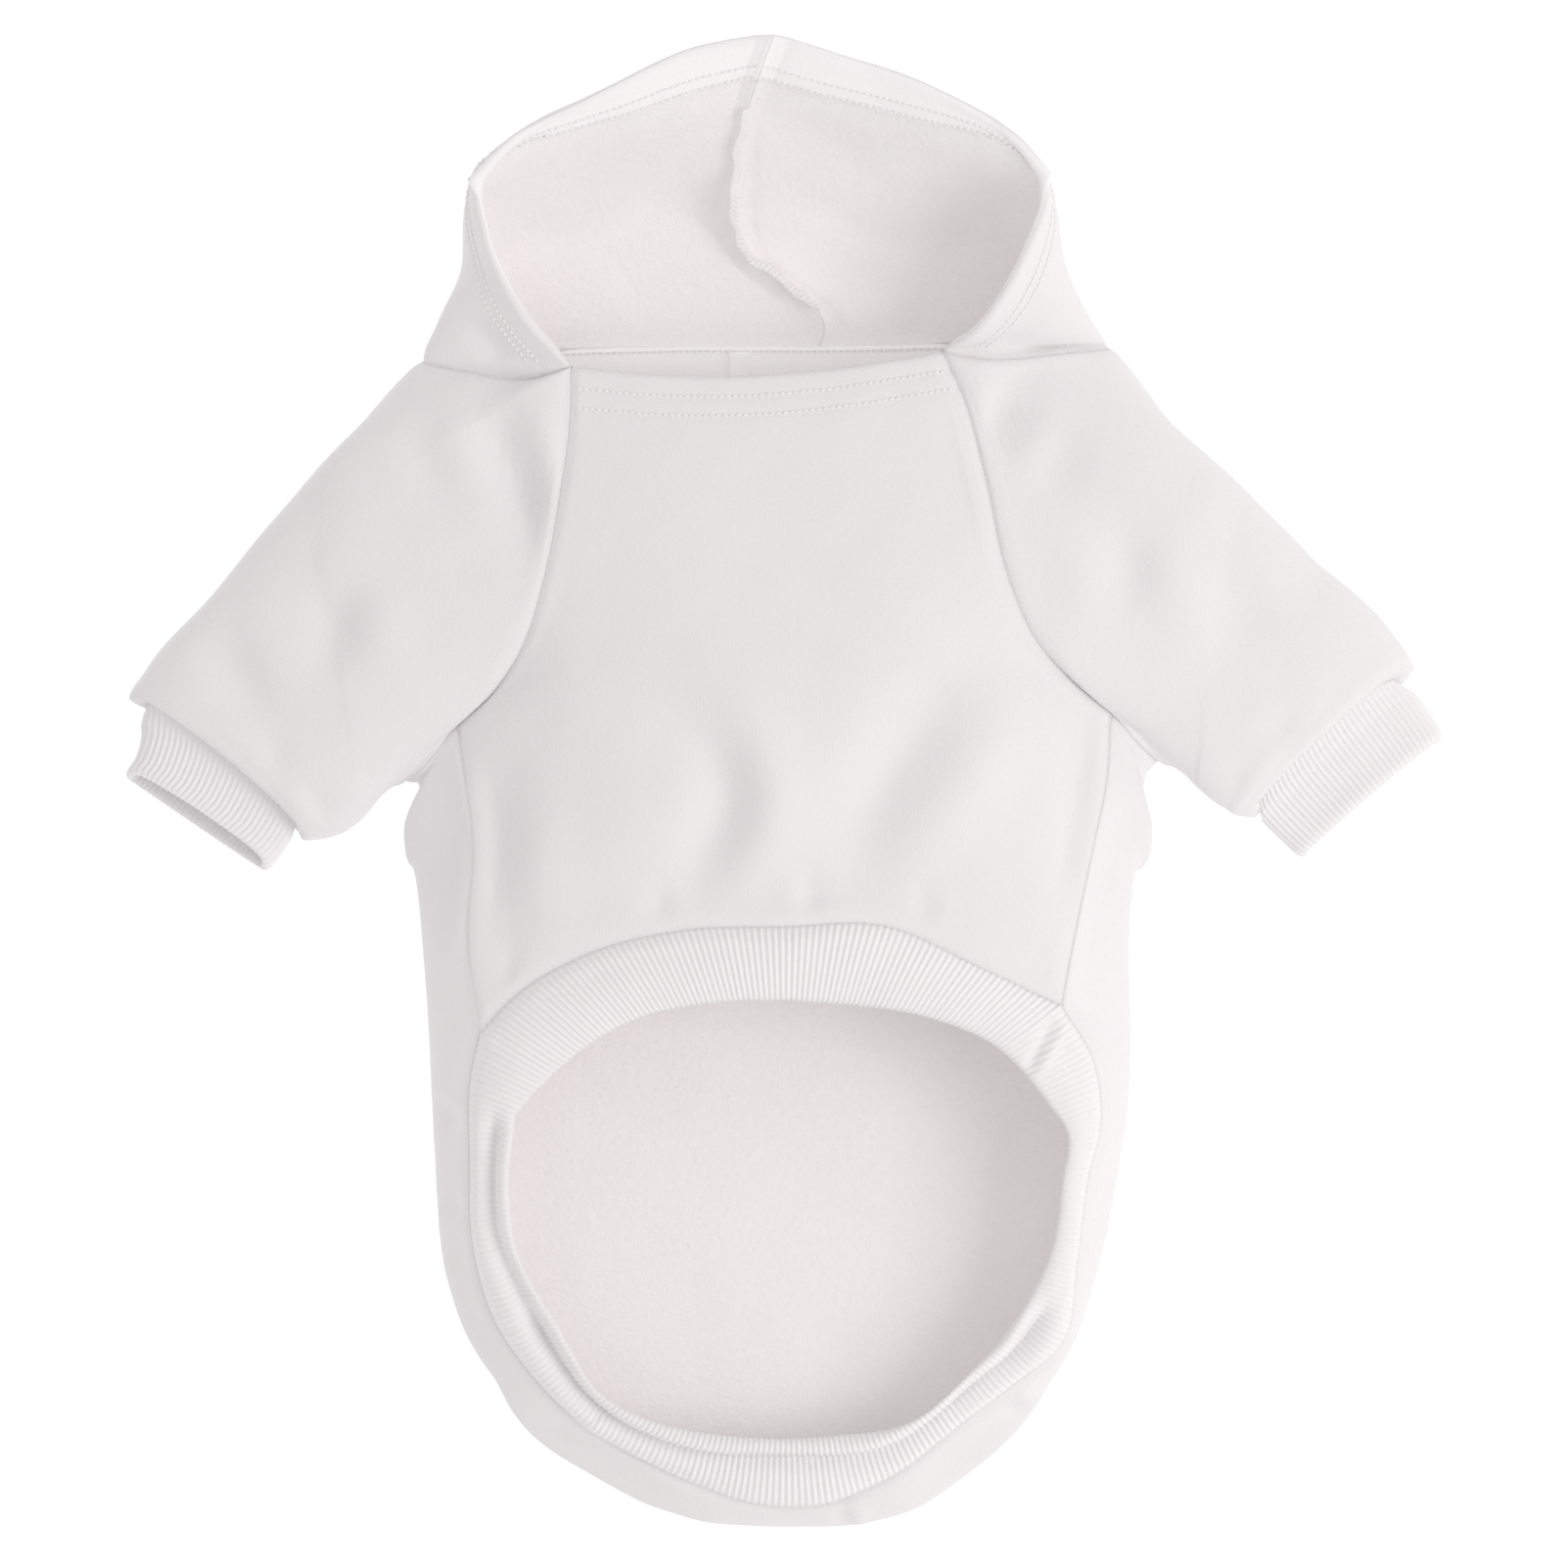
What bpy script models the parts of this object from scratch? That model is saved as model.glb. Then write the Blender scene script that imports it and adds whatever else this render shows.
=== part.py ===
"""A fleece dog hoodie that lies on its back, with the belly side up and the hood spread open.

Every panel is a grid of points on its outer face, drawn between seams that it shares with its
neighbours, and given its wall towards the inside. +X is the wearer's right as the piece lies,
+Y runs towards the hood, and Z is up from the surface that the hoodie lies on.
"""

from collections import namedtuple

import bpy
import numpy as np

# Driving sizes, in metres
BODY_LENGTH = 0.368
BODY_WIDTH = 0.220
BODY_HEIGHT = 0.060
HOOD_LENGTH = 0.102
HOOD_WIDTH = 0.186
HOOD_HEIGHT = 0.058
SLEEVE_REACH = 0.093
SLEEVE_DROP = 0.161
SLEEVE_HEIGHT = 0.034
NECK_Y = 0.1316
FLEECE_WALL = 0.0022
RIB_WALL = 0.0028
FOLDED_HEM = 0.016
SEAM_GAP = 0.0003
RIDGE_CLEARANCE = 0.0006
RIDGE_WIDTH = 0.0032
RIDGE_HEIGHT = 0.0034
STRIP_WIDTH = 0.012
STRIP_THICKNESS = 0.003
TAB_WIDTH = 0.007
TAB_LENGTH = 0.008
TAB_THICKNESS = 0.0025

# Steps between grid points along each kind of seam
RAGLAN_STEPS = 12
SIDE_STEPS = 7
HEM_SIDE_STEPS = 9
WIDTH_STEPS = 20
NECK_SIDE_STEPS = 10
HOOD_RISE_STEPS = 10
SLEEVE_STEPS = 10
CUFF_STEPS = 4
BAND_STEPS = 4

# Points of the body, as shares of its half width, its length below the neck and its height
BodyPoint = namedtuple("BodyPoint", "out down high")
NECK_LEFT = BodyPoint(-0.611, 0.005, 0.57)
NECK_RIGHT = BodyPoint(0.454, -0.008, 0.57)
UNDERARM_LEFT = BodyPoint(-0.938, 0.313, 0.48)
UNDERARM_RIGHT = BodyPoint(0.941, 0.303, 0.48)
HEM_LEFT = BodyPoint(-0.870, 0.573, 0.80)
HEM_RIGHT = BodyPoint(0.794, 0.549, 0.82)
TAIL_LEFT = BodyPoint(-0.566, 0.918, 0.40)
TAIL_RIGHT = BodyPoint(0.532, 0.907, 0.40)
NAPE_LEFT = BodyPoint(-0.680, -0.012, 0.00)
NAPE_RIGHT = BodyPoint(0.490, -0.018, 0.00)
NAPE_CENTRE = BodyPoint(0.100, -0.015, 0.00)

BODY_SEAMS = {
    "neck_front": [NECK_LEFT, BodyPoint(-0.355, 0.012, 0.62), BodyPoint(-0.144, 0.013, 0.63),
                   BodyPoint(0.138, 0.007, 0.62), NECK_RIGHT],
    "raglan_front_left": [NECK_LEFT, BodyPoint(-0.614, 0.051, 0.62), BodyPoint(-0.639, 0.110, 0.68),
                          BodyPoint(-0.690, 0.190, 0.70), BodyPoint(-0.761, 0.253, 0.64),
                          BodyPoint(-0.834, 0.285, 0.57), UNDERARM_LEFT],
    "raglan_front_right": [NECK_RIGHT, BodyPoint(0.510, 0.029, 0.62), BodyPoint(0.572, 0.097, 0.68),
                           BodyPoint(0.645, 0.190, 0.70), BodyPoint(0.730, 0.244, 0.65),
                           BodyPoint(0.820, 0.273, 0.57), UNDERARM_RIGHT],
    "side_left": [UNDERARM_LEFT, BodyPoint(-0.915, 0.362, 0.55), BodyPoint(-0.890, 0.413, 0.62),
                  BodyPoint(-0.904, 0.497, 0.72), HEM_LEFT],
    "side_right": [UNDERARM_RIGHT, BodyPoint(0.927, 0.354, 0.57), BodyPoint(0.885, 0.413, 0.63),
                   BodyPoint(0.837, 0.480, 0.72), HEM_RIGHT],
    "hem_belly": [HEM_LEFT, BodyPoint(-0.777, 0.543, 0.83), BodyPoint(-0.566, 0.505, 0.90),
                  BodyPoint(-0.285, 0.484, 0.95), BodyPoint(-0.003, 0.481, 0.97),
                  BodyPoint(0.279, 0.480, 0.95), BodyPoint(0.561, 0.516, 0.90), HEM_RIGHT],
    "hem_left": [HEM_LEFT, BodyPoint(-0.899, 0.611, 0.77), BodyPoint(-0.904, 0.682, 0.68),
                 BodyPoint(-0.899, 0.750, 0.60), BodyPoint(-0.834, 0.821, 0.52),
                 BodyPoint(-0.707, 0.876, 0.45), TAIL_LEFT],
    "hem_right": [HEM_RIGHT, BodyPoint(0.885, 0.594, 0.77), BodyPoint(0.913, 0.649, 0.70),
                  BodyPoint(0.876, 0.699, 0.65), BodyPoint(0.848, 0.767, 0.58),
                  BodyPoint(0.800, 0.842, 0.50), BodyPoint(0.659, 0.878, 0.45), TAIL_RIGHT],
    "hem_tail": [TAIL_LEFT, BodyPoint(-0.285, 0.960, 0.33), BodyPoint(-0.080, 0.981, 0.30),
                 BodyPoint(0.100, 0.982, 0.30), BodyPoint(0.293, 0.960, 0.33), TAIL_RIGHT],
    "raglan_back_left": [NAPE_LEFT, BodyPoint(-0.715, 0.067, 0.00), BodyPoint(-0.795, 0.177, 0.00),
                         BodyPoint(-0.900, 0.275, 0.00), BodyPoint(-1.030, 0.338, 0.04),
                         BodyPoint(-1.090, 0.362, 0.20), BodyPoint(-1.040, 0.350, 0.38),
                         UNDERARM_LEFT],
    "raglan_back_right": [NAPE_RIGHT, BodyPoint(0.565, 0.067, 0.00), BodyPoint(0.695, 0.177, 0.00),
                          BodyPoint(0.842, 0.261, 0.00), BodyPoint(1.000, 0.318, 0.04),
                          BodyPoint(1.075, 0.345, 0.20), BodyPoint(1.035, 0.334, 0.38),
                          UNDERARM_RIGHT],
    "neck_side_left": [NECK_LEFT, BodyPoint(-0.735, 0.015, 0.52), BodyPoint(-0.900, 0.008, 0.42),
                       BodyPoint(-1.042, -0.003, 0.25), BodyPoint(-1.000, -0.007, 0.09),
                       BodyPoint(-0.860, -0.011, 0.01), NAPE_LEFT],
    "neck_side_right": [NECK_RIGHT, BodyPoint(0.589, -0.003, 0.52), BodyPoint(0.785, -0.009, 0.42),
                        BodyPoint(0.937, -0.015, 0.25), BodyPoint(0.897, -0.018, 0.09),
                        BodyPoint(0.750, -0.019, 0.01), NAPE_RIGHT],
    "nape_left": [NAPE_LEFT, BodyPoint(-0.290, -0.015, 0.00), NAPE_CENTRE],
    "nape_right": [NAPE_RIGHT, BodyPoint(0.295, -0.016, 0.00), NAPE_CENTRE],
}

# Height of the middle of the belly from the neck to the hem, and how square its sides are
BELLY_MIDDLE = (0.63, 0.80, 0.92, 0.97, 0.97)
BELLY_ROUNDING = 2.6

# Free edge of the rib band, anticlockwise as seen from above, starting above the left hem corner
MOUTH = [
    BodyPoint(-0.763, 0.644, 0.83), BodyPoint(-0.679, 0.615, 0.88), BodyPoint(-0.454, 0.566, 0.97),
    BodyPoint(-0.144, 0.546, 1.00), BodyPoint(0.138, 0.548, 1.00), BodyPoint(0.392, 0.559, 0.98),
    BodyPoint(0.603, 0.586, 0.93), BodyPoint(0.744, 0.632, 0.87), BodyPoint(0.805, 0.660, 0.83),
    BodyPoint(0.789, 0.699, 0.77), BodyPoint(0.758, 0.758, 0.70), BodyPoint(0.687, 0.805, 0.63),
    BodyPoint(0.532, 0.864, 0.57), BodyPoint(0.363, 0.906, 0.52), BodyPoint(0.138, 0.919, 0.50),
    BodyPoint(-0.144, 0.919, 0.50), BodyPoint(-0.369, 0.906, 0.52), BodyPoint(-0.510, 0.886, 0.55),
    BodyPoint(-0.651, 0.821, 0.63), BodyPoint(-0.763, 0.758, 0.72), BodyPoint(-0.783, 0.699, 0.78),
]

# Sections of the back panel, from one edge over the side and the floor to the other edge. Edge
# counts seams from the nape: 0 to 1 along the raglan, 1 to 2 along the side, 2 to 3 along the hem.
BackSection = namedtuple(
    "BackSection",
    "edge side_left side_right side_down side_high floor_out floor_down floor_high mid_down mid_high",
)
BACK_SECTIONS = [
    BackSection(0.35, -0.60, 0.50, 0.125, 0.00, 0.38, 0.130, 0.00, 0.135, 0.00),
    BackSection(0.65, -0.78, 0.72, 0.245, 0.00, 0.50, 0.255, 0.00, 0.260, 0.00),
    BackSection(0.80, -0.93, 0.91, 0.335, 0.00, 0.70, 0.350, 0.00, 0.345, 0.00),
    BackSection(0.90, -1.035, 1.01, 0.378, 0.08, 0.82, 0.390, 0.00, 0.390, 0.00),
    BackSection(1.00, -1.085, 1.055, 0.402, 0.26, 0.88, 0.420, 0.00, 0.430, 0.00),
    BackSection(1.50, -1.075, 1.03, 0.445, 0.25, 0.88, 0.455, 0.00, 0.490, 0.00),
    BackSection(2.00, -1.03, 1.00, 0.575, 0.27, 0.86, 0.580, 0.00, 0.600, 0.00),
    BackSection(2.35, -1.00, 0.970, 0.675, 0.27, 0.83, 0.700, 0.00, 0.730, 0.00),
    BackSection(2.60, -0.965, 0.890, 0.790, 0.24, 0.74, 0.830, 0.00, 0.860, 0.00),
    BackSection(2.82, -0.860, 0.785, 0.875, 0.21, 0.50, 0.945, 0.02, 0.970, 0.00),
    BackSection(2.94, -0.700, 0.620, 0.925, 0.20, 0.36, 0.985, 0.13, 1.000, 0.11),
]
BACK_KNOTS = (0.0, 0.12, 0.26, 0.5, 0.74, 0.88, 1.0)

# Points of the hood, as shares of its half width, its rise above the neck and its height
HoodPoint = namedtuple("HoodPoint", "out up high")
CORNER_LEFT = HoodPoint(-1.063, 0.549, 1.00)
CORNER_RIGHT = HoodPoint(0.903, 0.564, 1.00)
CROWN = HoodPoint(-0.037, 1.000, 0.93)
RIM_SIDE_LEFT = [HoodPoint(-0.837, 0.076, 0.73), HoodPoint(-0.930, 0.183, 0.85),
                 HoodPoint(-0.993, 0.311, 0.93), HoodPoint(-1.037, 0.442, 0.98), CORNER_LEFT]
RIM_SIDE_RIGHT = [HoodPoint(0.630, 0.076, 0.73), HoodPoint(0.730, 0.177, 0.85),
                  HoodPoint(0.830, 0.320, 0.93), HoodPoint(0.897, 0.473, 0.98), CORNER_RIGHT]
RIM_TOP_LEFT = [CORNER_LEFT, HoodPoint(-0.937, 0.686, 1.00), HoodPoint(-0.670, 0.823, 0.98),
                HoodPoint(-0.337, 0.960, 0.95), CROWN]
RIM_TOP_RIGHT = [CORNER_RIGHT, HoodPoint(0.797, 0.686, 1.00), HoodPoint(0.497, 0.845, 0.96),
                 HoodPoint(0.163, 0.945, 0.93), CROWN]
CENTRE_SEAM = [HoodPoint(0.137, 0.110, 0.00), HoodPoint(0.095, 0.190, 0.00),
               HoodPoint(0.000, 0.255, 0.00), HoodPoint(-0.115, 0.335, 0.00),
               HoodPoint(-0.163, 0.450, 0.02), HoodPoint(-0.155, 0.610, 0.20),
               HoodPoint(-0.130, 0.777, 0.52), HoodPoint(-0.080, 0.905, 0.78), CROWN]

# Sections of each hood half between its rim and the centre seam, at shares of its rise
HoodSection = namedtuple(
    "HoodSection",
    "rise side_out side_up side_high floor_out floor_up floor_high mid_out mid_up mid_high",
)
HOOD_LEFT = [
    HoodSection(0.25, -1.163, 0.146, 0.34, -0.937, 0.137, 0.00, -0.403, 0.137, 0.00),
    HoodSection(0.50, -1.087, 0.305, 0.50, -0.937, 0.330, 0.09, -0.470, 0.350, 0.00),
    HoodSection(0.75, -1.077, 0.473, 0.66, -0.860, 0.534, 0.32, -0.470, 0.564, 0.16),
    HoodSection(0.90, -1.050, 0.570, 0.80, -0.790, 0.690, 0.70, -0.403, 0.793, 0.64),
]
HOOD_RIGHT = [
    HoodSection(0.25, 1.023, 0.152, 0.34, 0.797, 0.165, 0.00, 0.430, 0.190, 0.00),
    HoodSection(0.50, 0.950, 0.305, 0.50, 0.780, 0.330, 0.09, 0.397, 0.350, 0.00),
    HoodSection(0.75, 0.927, 0.473, 0.66, 0.690, 0.534, 0.32, 0.330, 0.549, 0.16),
    HoodSection(0.90, 0.892, 0.580, 0.80, 0.670, 0.690, 0.70, 0.297, 0.777, 0.64),
]
HOOD_KNOTS = (0.0, 0.27, 0.42, 0.7, 1.0)

# Rings of each sleeve, as shares of its reach beyond the neck, its drop below it and its height
SleeveRing = namedtuple("SleeveRing", "along upper_out upper_down lower_out lower_down top edge bow under")
SLEEVE_LEFT = [
    SleeveRing(0.25, 0.224, 0.142, 0.125, 0.850, 1.12, 0.40, 0.00, 0.00),
    SleeveRing(0.50, 0.441, 0.280, 0.201, 0.902, 1.05, 0.42, 0.00, 0.00),
    SleeveRing(0.75, 0.692, 0.449, 0.285, 0.935, 0.98, 0.42, 0.00, 0.00),
    SleeveRing(0.92, 0.930, 0.615, 0.365, 0.943, 0.92, 0.42, 0.04, 0.02),
    SleeveRing(0.975, 0.985, 0.665, 0.402, 0.940, 0.82, 0.42, 0.07, 0.03),
    SleeveRing(1.00, 0.945, 0.687, 0.425, 0.915, 0.66, 0.40, 0.10, 0.04),
]
SLEEVE_RIGHT = [
    SleeveRing(0.25, 0.207, 0.150, 0.235, 0.835, 1.12, 0.40, 0.00, 0.00),
    SleeveRing(0.50, 0.458, 0.280, 0.298, 0.871, 1.05, 0.42, 0.00, 0.00),
    SleeveRing(0.75, 0.709, 0.422, 0.380, 0.908, 0.98, 0.42, 0.00, 0.00),
    SleeveRing(0.92, 0.955, 0.566, 0.450, 0.926, 0.92, 0.42, 0.04, 0.02),
    SleeveRing(0.975, 1.022, 0.635, 0.492, 0.926, 0.82, 0.42, 0.07, 0.03),
    SleeveRing(1.00, 0.993, 0.665, 0.510, 0.905, 0.66, 0.40, 0.10, 0.04),
]
CUFF_LEFT = [
    SleeveRing(0.35, 0.942, 0.735, 0.448, 0.940, 0.60, 0.36, 0.09, 0.04),
    SleeveRing(0.70, 0.962, 0.785, 0.490, 0.975, 0.62, 0.36, 0.07, 0.03),
    SleeveRing(1.00, 1.003, 0.818, 0.535, 1.002, 0.68, 0.38, 0.10, -0.01),
]
CUFF_RIGHT = [
    SleeveRing(0.35, 1.035, 0.695, 0.532, 0.940, 0.60, 0.36, 0.09, 0.04),
    SleeveRing(0.70, 1.085, 0.735, 0.590, 0.978, 0.62, 0.36, 0.07, 0.03),
    SleeveRing(1.00, 1.127, 0.775, 0.650, 1.010, 0.68, 0.38, 0.04, 0.02),
]
TOP_FLATNESS = 0.6

# The main folds and dents: each one's path in shares of the body, its depth as a share of the
# body's height (a valley is negative), its width as a share of the body's width, and the share of
# the depth that swells on the path's left.
Fold = namedtuple("Fold", "node path depth width lip")
FOLDS = [
    Fold("belly_panel", ((-0.36, 0.31), (-0.24, 0.325), (-0.17, 0.36), (-0.16, 0.38), (-0.24, 0.42),
                         (-0.29, 0.475)), -0.043, 0.036, 0.5),
    Fold("belly_panel", ((0.55, 0.24), (0.43, 0.295), (0.30, 0.355), (0.22, 0.39), (0.18, 0.46)),
         -0.053, 0.050, 0.5),
    Fold("belly_panel", ((-0.80, 0.32), (-0.83, 0.40), (-0.81, 0.47), (-0.78, 0.53)), -0.040, 0.041, 0.4),
    Fold("belly_panel", ((-0.75, 0.23), (-0.55, 0.30), (-0.48, 0.38)), 0.030, 0.064, 0.0),
    Fold("belly_panel", ((0.78, 0.27), (0.86, 0.33), (0.84, 0.42), (0.80, 0.50)), -0.033, 0.036, 0.4),
    Fold("belly_panel", ((-0.05, 0.10), (0.02, 0.20), (0.00, 0.28)), -0.027, 0.136, 0.0),
    Fold("sleeve_left", ((-0.89, 0.03), (-0.79, 0.085), (-0.745, 0.115), (-0.71, 0.165)),
         -0.057, 0.036, 0.6),
    Fold("sleeve_left", ((-1.06, 0.03), (-1.02, 0.09), (-0.91, 0.135)), -0.027, 0.036, 0.3),
    Fold("sleeve_left", ((-1.30, 0.19), (-1.285, 0.225), (-1.285, 0.265)), -0.040, 0.041, 0.4),
    Fold("sleeve_left", ((-1.36, 0.11), (-1.31, 0.16)), -0.023, 0.036, 0.3),
    Fold("sleeve_left", ((-1.65, 0.22), (-1.58, 0.27), (-1.45, 0.31)), -0.033, 0.041, 0.4),
    Fold("sleeve_left", ((-0.95, 0.20), (-1.05, 0.27), (-1.15, 0.34)), 0.027, 0.073, 0.0),
    Fold("sleeve_right", ((0.70, 0.005), (0.62, 0.06), (0.60, 0.09)), -0.047, 0.036, -0.5),
    Fold("sleeve_right", ((0.84, 0.045), (0.785, 0.09), (0.77, 0.12)), -0.027, 0.036, -0.3),
    Fold("sleeve_right", ((0.955, 0.14), (0.985, 0.185), (0.985, 0.225)), -0.037, 0.041, -0.4),
    Fold("sleeve_right", ((0.72, 0.20), (0.80, 0.25), (0.95, 0.31)), 0.030, 0.064, 0.0),
    Fold("sleeve_right", ((1.20, 0.16), (1.28, 0.21), (1.42, 0.25)), -0.025, 0.045, 0.3),
    Fold("hood_left", ((-0.60, -0.20), (-0.42, -0.18), (-0.25, -0.12)), -0.027, 0.055, 0.3),
    Fold("hood_right", ((0.10, -0.06), (0.30, -0.09), (0.55, -0.08)), -0.030, 0.045, 0.3),
    Fold("hood_right", ((0.62, -0.20), (0.50, -0.13)), 0.020, 0.055, 0.0),
    Fold("hem_band", ((-0.82, 0.63), (-0.845, 0.70), (-0.825, 0.75), (-0.735, 0.81), (-0.565, 0.89),
                      (-0.40, 0.925), (-0.14, 0.943), (0.14, 0.943), (0.36, 0.926), (0.56, 0.876),
                      (0.67, 0.85), (0.77, 0.80)), -0.043, 0.014, 0.5),
]
NARROWEST_FOLD = 0.050
UPWARD = 0.15

# The grid points between which the hood's ridge runs, and how far from the middle the tab lies
RIDGE_START = 1
RIDGE_END = 9
TAB_OUT = -0.128

# How much thicker a folded hem is than the cloth
HEM_FACTOR = 1.5

# Rounds of evening for the walls' directions, and the order that picks each edge quad's diagonal
WALL_EASING = 3
DIAGONAL_ORDER = np.array([1.0, 0.7, 0.3])
RING_FLOOR = 0.02


def body_point(share):
    """World place of a point given in shares of the body."""
    return (share.out * BODY_WIDTH / 2, NECK_Y - share.down * BODY_LENGTH, share.high * BODY_HEIGHT)


def hood_point(out, up, high):
    """World place of a point given in shares of the hood."""
    return (out * HOOD_WIDTH / 2, NECK_Y + up * HOOD_LENGTH, high * HOOD_HEIGHT)


def through(knots, values, places, bounded=True):
    """Smooth curve through values at their knots, read at the given places.

    A bounded curve never swings past its values between two knots.
    """
    knots = np.asarray(knots, float)
    values = np.asarray(values, float)
    slopes = np.gradient(values, knots, axis=0)
    if bounded:
        spans = np.diff(knots).reshape((-1,) + (1,) * (values.ndim - 1))
        chords = np.diff(values, axis=0) / spans
        limit = 3 * np.minimum(np.abs(chords[1:]), np.abs(chords[:-1]))
        limit = np.where(chords[1:] * chords[:-1] > 0, limit, 0)
        slopes[1:-1] = np.clip(slopes[1:-1], -limit, limit)
    spans = np.clip(np.searchsorted(knots, places, side="right") - 1, 0, len(knots) - 2)
    width = knots[spans + 1] - knots[spans]
    t = ((places - knots[spans]) / width).reshape((-1,) + (1,) * (values.ndim - 1))
    width = width.reshape(t.shape)
    rest = 1 - t
    return (
        values[spans] * (1 + 2 * t) * rest**2
        + slopes[spans] * width * t * rest**2
        + values[spans + 1] * (3 - 2 * t) * t**2
        - slopes[spans + 1] * width * t**2 * rest
    )


def along(points, steps):
    """The smooth curve through points, cut into steps of equal length."""
    points = np.asarray(points, float)
    reach = np.concatenate([[0], np.cumsum(np.linalg.norm(np.diff(points, axis=0), axis=1))])
    fine = through(reach, points, np.linspace(0, reach[-1], 40 * len(points)), bounded=False)
    run = np.concatenate([[0], np.cumsum(np.linalg.norm(np.diff(fine, axis=0), axis=1))])
    wanted = np.linspace(0, run[-1], steps + 1)
    curve = np.stack([np.interp(wanted, run, fine[:, axis]) for axis in range(3)], axis=1)
    curve[:, 2] = np.maximum(curve[:, 2], 0)
    return curve


def body_seam(name, steps):
    """A body seam by its name, cut into steps."""
    return along([body_point(p) for p in BODY_SEAMS[name]], steps)


def joined(*parts):
    """Curves laid end to end, with each shared end point kept once."""
    return np.concatenate([parts[0]] + [part[1:] for part in parts[1:]])


def blend_patch(left, right, top, bottom):
    """Surface between four edges: rows run from top to bottom, columns from left to right."""
    down = np.linspace(0, 1, len(left))[:, None, None]
    across = np.linspace(0, 1, len(top))[None, :, None]
    sides = (1 - across) * left[:, None] + across * right[:, None]
    ends = (1 - down) * top[None] + down * bottom[None]
    corners = (
        (1 - down) * ((1 - across) * top[0] + across * top[-1])
        + down * ((1 - across) * bottom[0] + across * bottom[-1])
    )
    return sides + ends - corners


def grid_normals(grid, looped):
    """Unit normals of a grid of points, closed round or open."""
    if looped:
        across = np.roll(grid, -1, axis=1) - np.roll(grid, 1, axis=1)
    else:
        across = np.gradient(grid, axis=1)
    normal = np.cross(np.gradient(grid, axis=0), across)
    normal /= np.linalg.norm(normal, axis=2, keepdims=True)
    if not looped:
        for r, beside_r in ((0, 1), (-1, -2)):
            for c, beside_c in ((0, 1), (-1, -2)):
                normal[r, c] = normal[beside_r, beside_c]
    return normal


def path_gap(places, path):
    """Distance of places from a path in the plan, their side of it and the share of its length."""
    steps = np.linalg.norm(np.diff(path, axis=0), axis=1)
    starts = np.concatenate([[0], np.cumsum(steps)])
    best = np.full(places.shape[:-1], np.inf)
    side = np.zeros(places.shape[:-1])
    share = np.zeros(places.shape[:-1])
    for start, end, step, run in zip(path[:-1], path[1:], steps, starts[:-1], strict=True):
        direction = (end - start) / step
        offset = places - start
        t = np.clip(offset @ direction, 0, step)
        gap = np.linalg.norm(offset - t[..., None] * direction, axis=-1)
        nearer = gap < best
        turn = direction[0] * offset[..., 1] - direction[1] * offset[..., 0]
        best = np.where(nearer, gap, best)
        side = np.where(nearer, np.sign(turn), side)
        share = np.where(nearer, (run + t) / starts[-1], share)
    return best, side, share


def folded(grid, node, inward, looped=False):
    """A panel's grid with its main folds pressed into its upper side and its seams left in place."""
    outward = grid_normals(grid, looped) * -inward
    lift = np.zeros(grid.shape[:2])
    for fold in FOLDS:
        if fold.node != node:
            continue
        path = np.array([body_point(BodyPoint(out, down, 0.0))[:2] for out, down in fold.path])
        gap, side, share = path_gap(grid[..., :2], path)
        gap = gap / (max(fold.width, NARROWEST_FOLD) * BODY_WIDTH)
        ends = np.clip(4 * np.minimum(share, 1 - share) + 0.3, 0, 1)
        lip = np.where(side > 0, np.exp(-((gap - 1.7) ** 2)), 0)
        lift += fold.depth * BODY_HEIGHT * ends * (np.exp(-(gap**2)) - fold.lip * lip)
    lift *= outward[..., 2] > UPWARD
    rows, columns = grid.shape[:2]
    inside = np.minimum(np.arange(rows), np.arange(rows)[::-1])[:, None] / 2
    if not looped:
        inside = np.minimum(inside, np.minimum(np.arange(columns), np.arange(columns)[::-1])[None] / 2)
    return grid + outward * (lift * np.clip(inside, 0, 1))[..., None]


def belly_grid():
    """Outer face of the belly panel."""
    left = joined(body_seam("raglan_front_left", RAGLAN_STEPS), body_seam("side_left", SIDE_STEPS))
    right = joined(body_seam("raglan_front_right", RAGLAN_STEPS), body_seam("side_right", SIDE_STEPS))
    grid = blend_patch(
        left, right, body_seam("neck_front", WIDTH_STEPS), body_seam("hem_belly", WIDTH_STEPS)
    )
    reach = np.linspace(0, 1, len(left))
    middle = through([0, 0.3, 0.6, 0.85, 1.0], BELLY_MIDDLE, reach)[:, None] * BODY_HEIGHT
    out = np.abs(np.linspace(-1, 1, grid.shape[1]))[None]
    edge = np.where(np.arange(grid.shape[1]) * 2 < grid.shape[1], left[:, None, 2], right[:, None, 2])
    high = middle + (edge - middle) * out**BELLY_ROUNDING
    keep = np.minimum(1, 6 * np.minimum(reach, 1 - reach))[:, None]
    grid[..., 2] += (high - grid[..., 2]) * keep
    return grid


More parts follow.
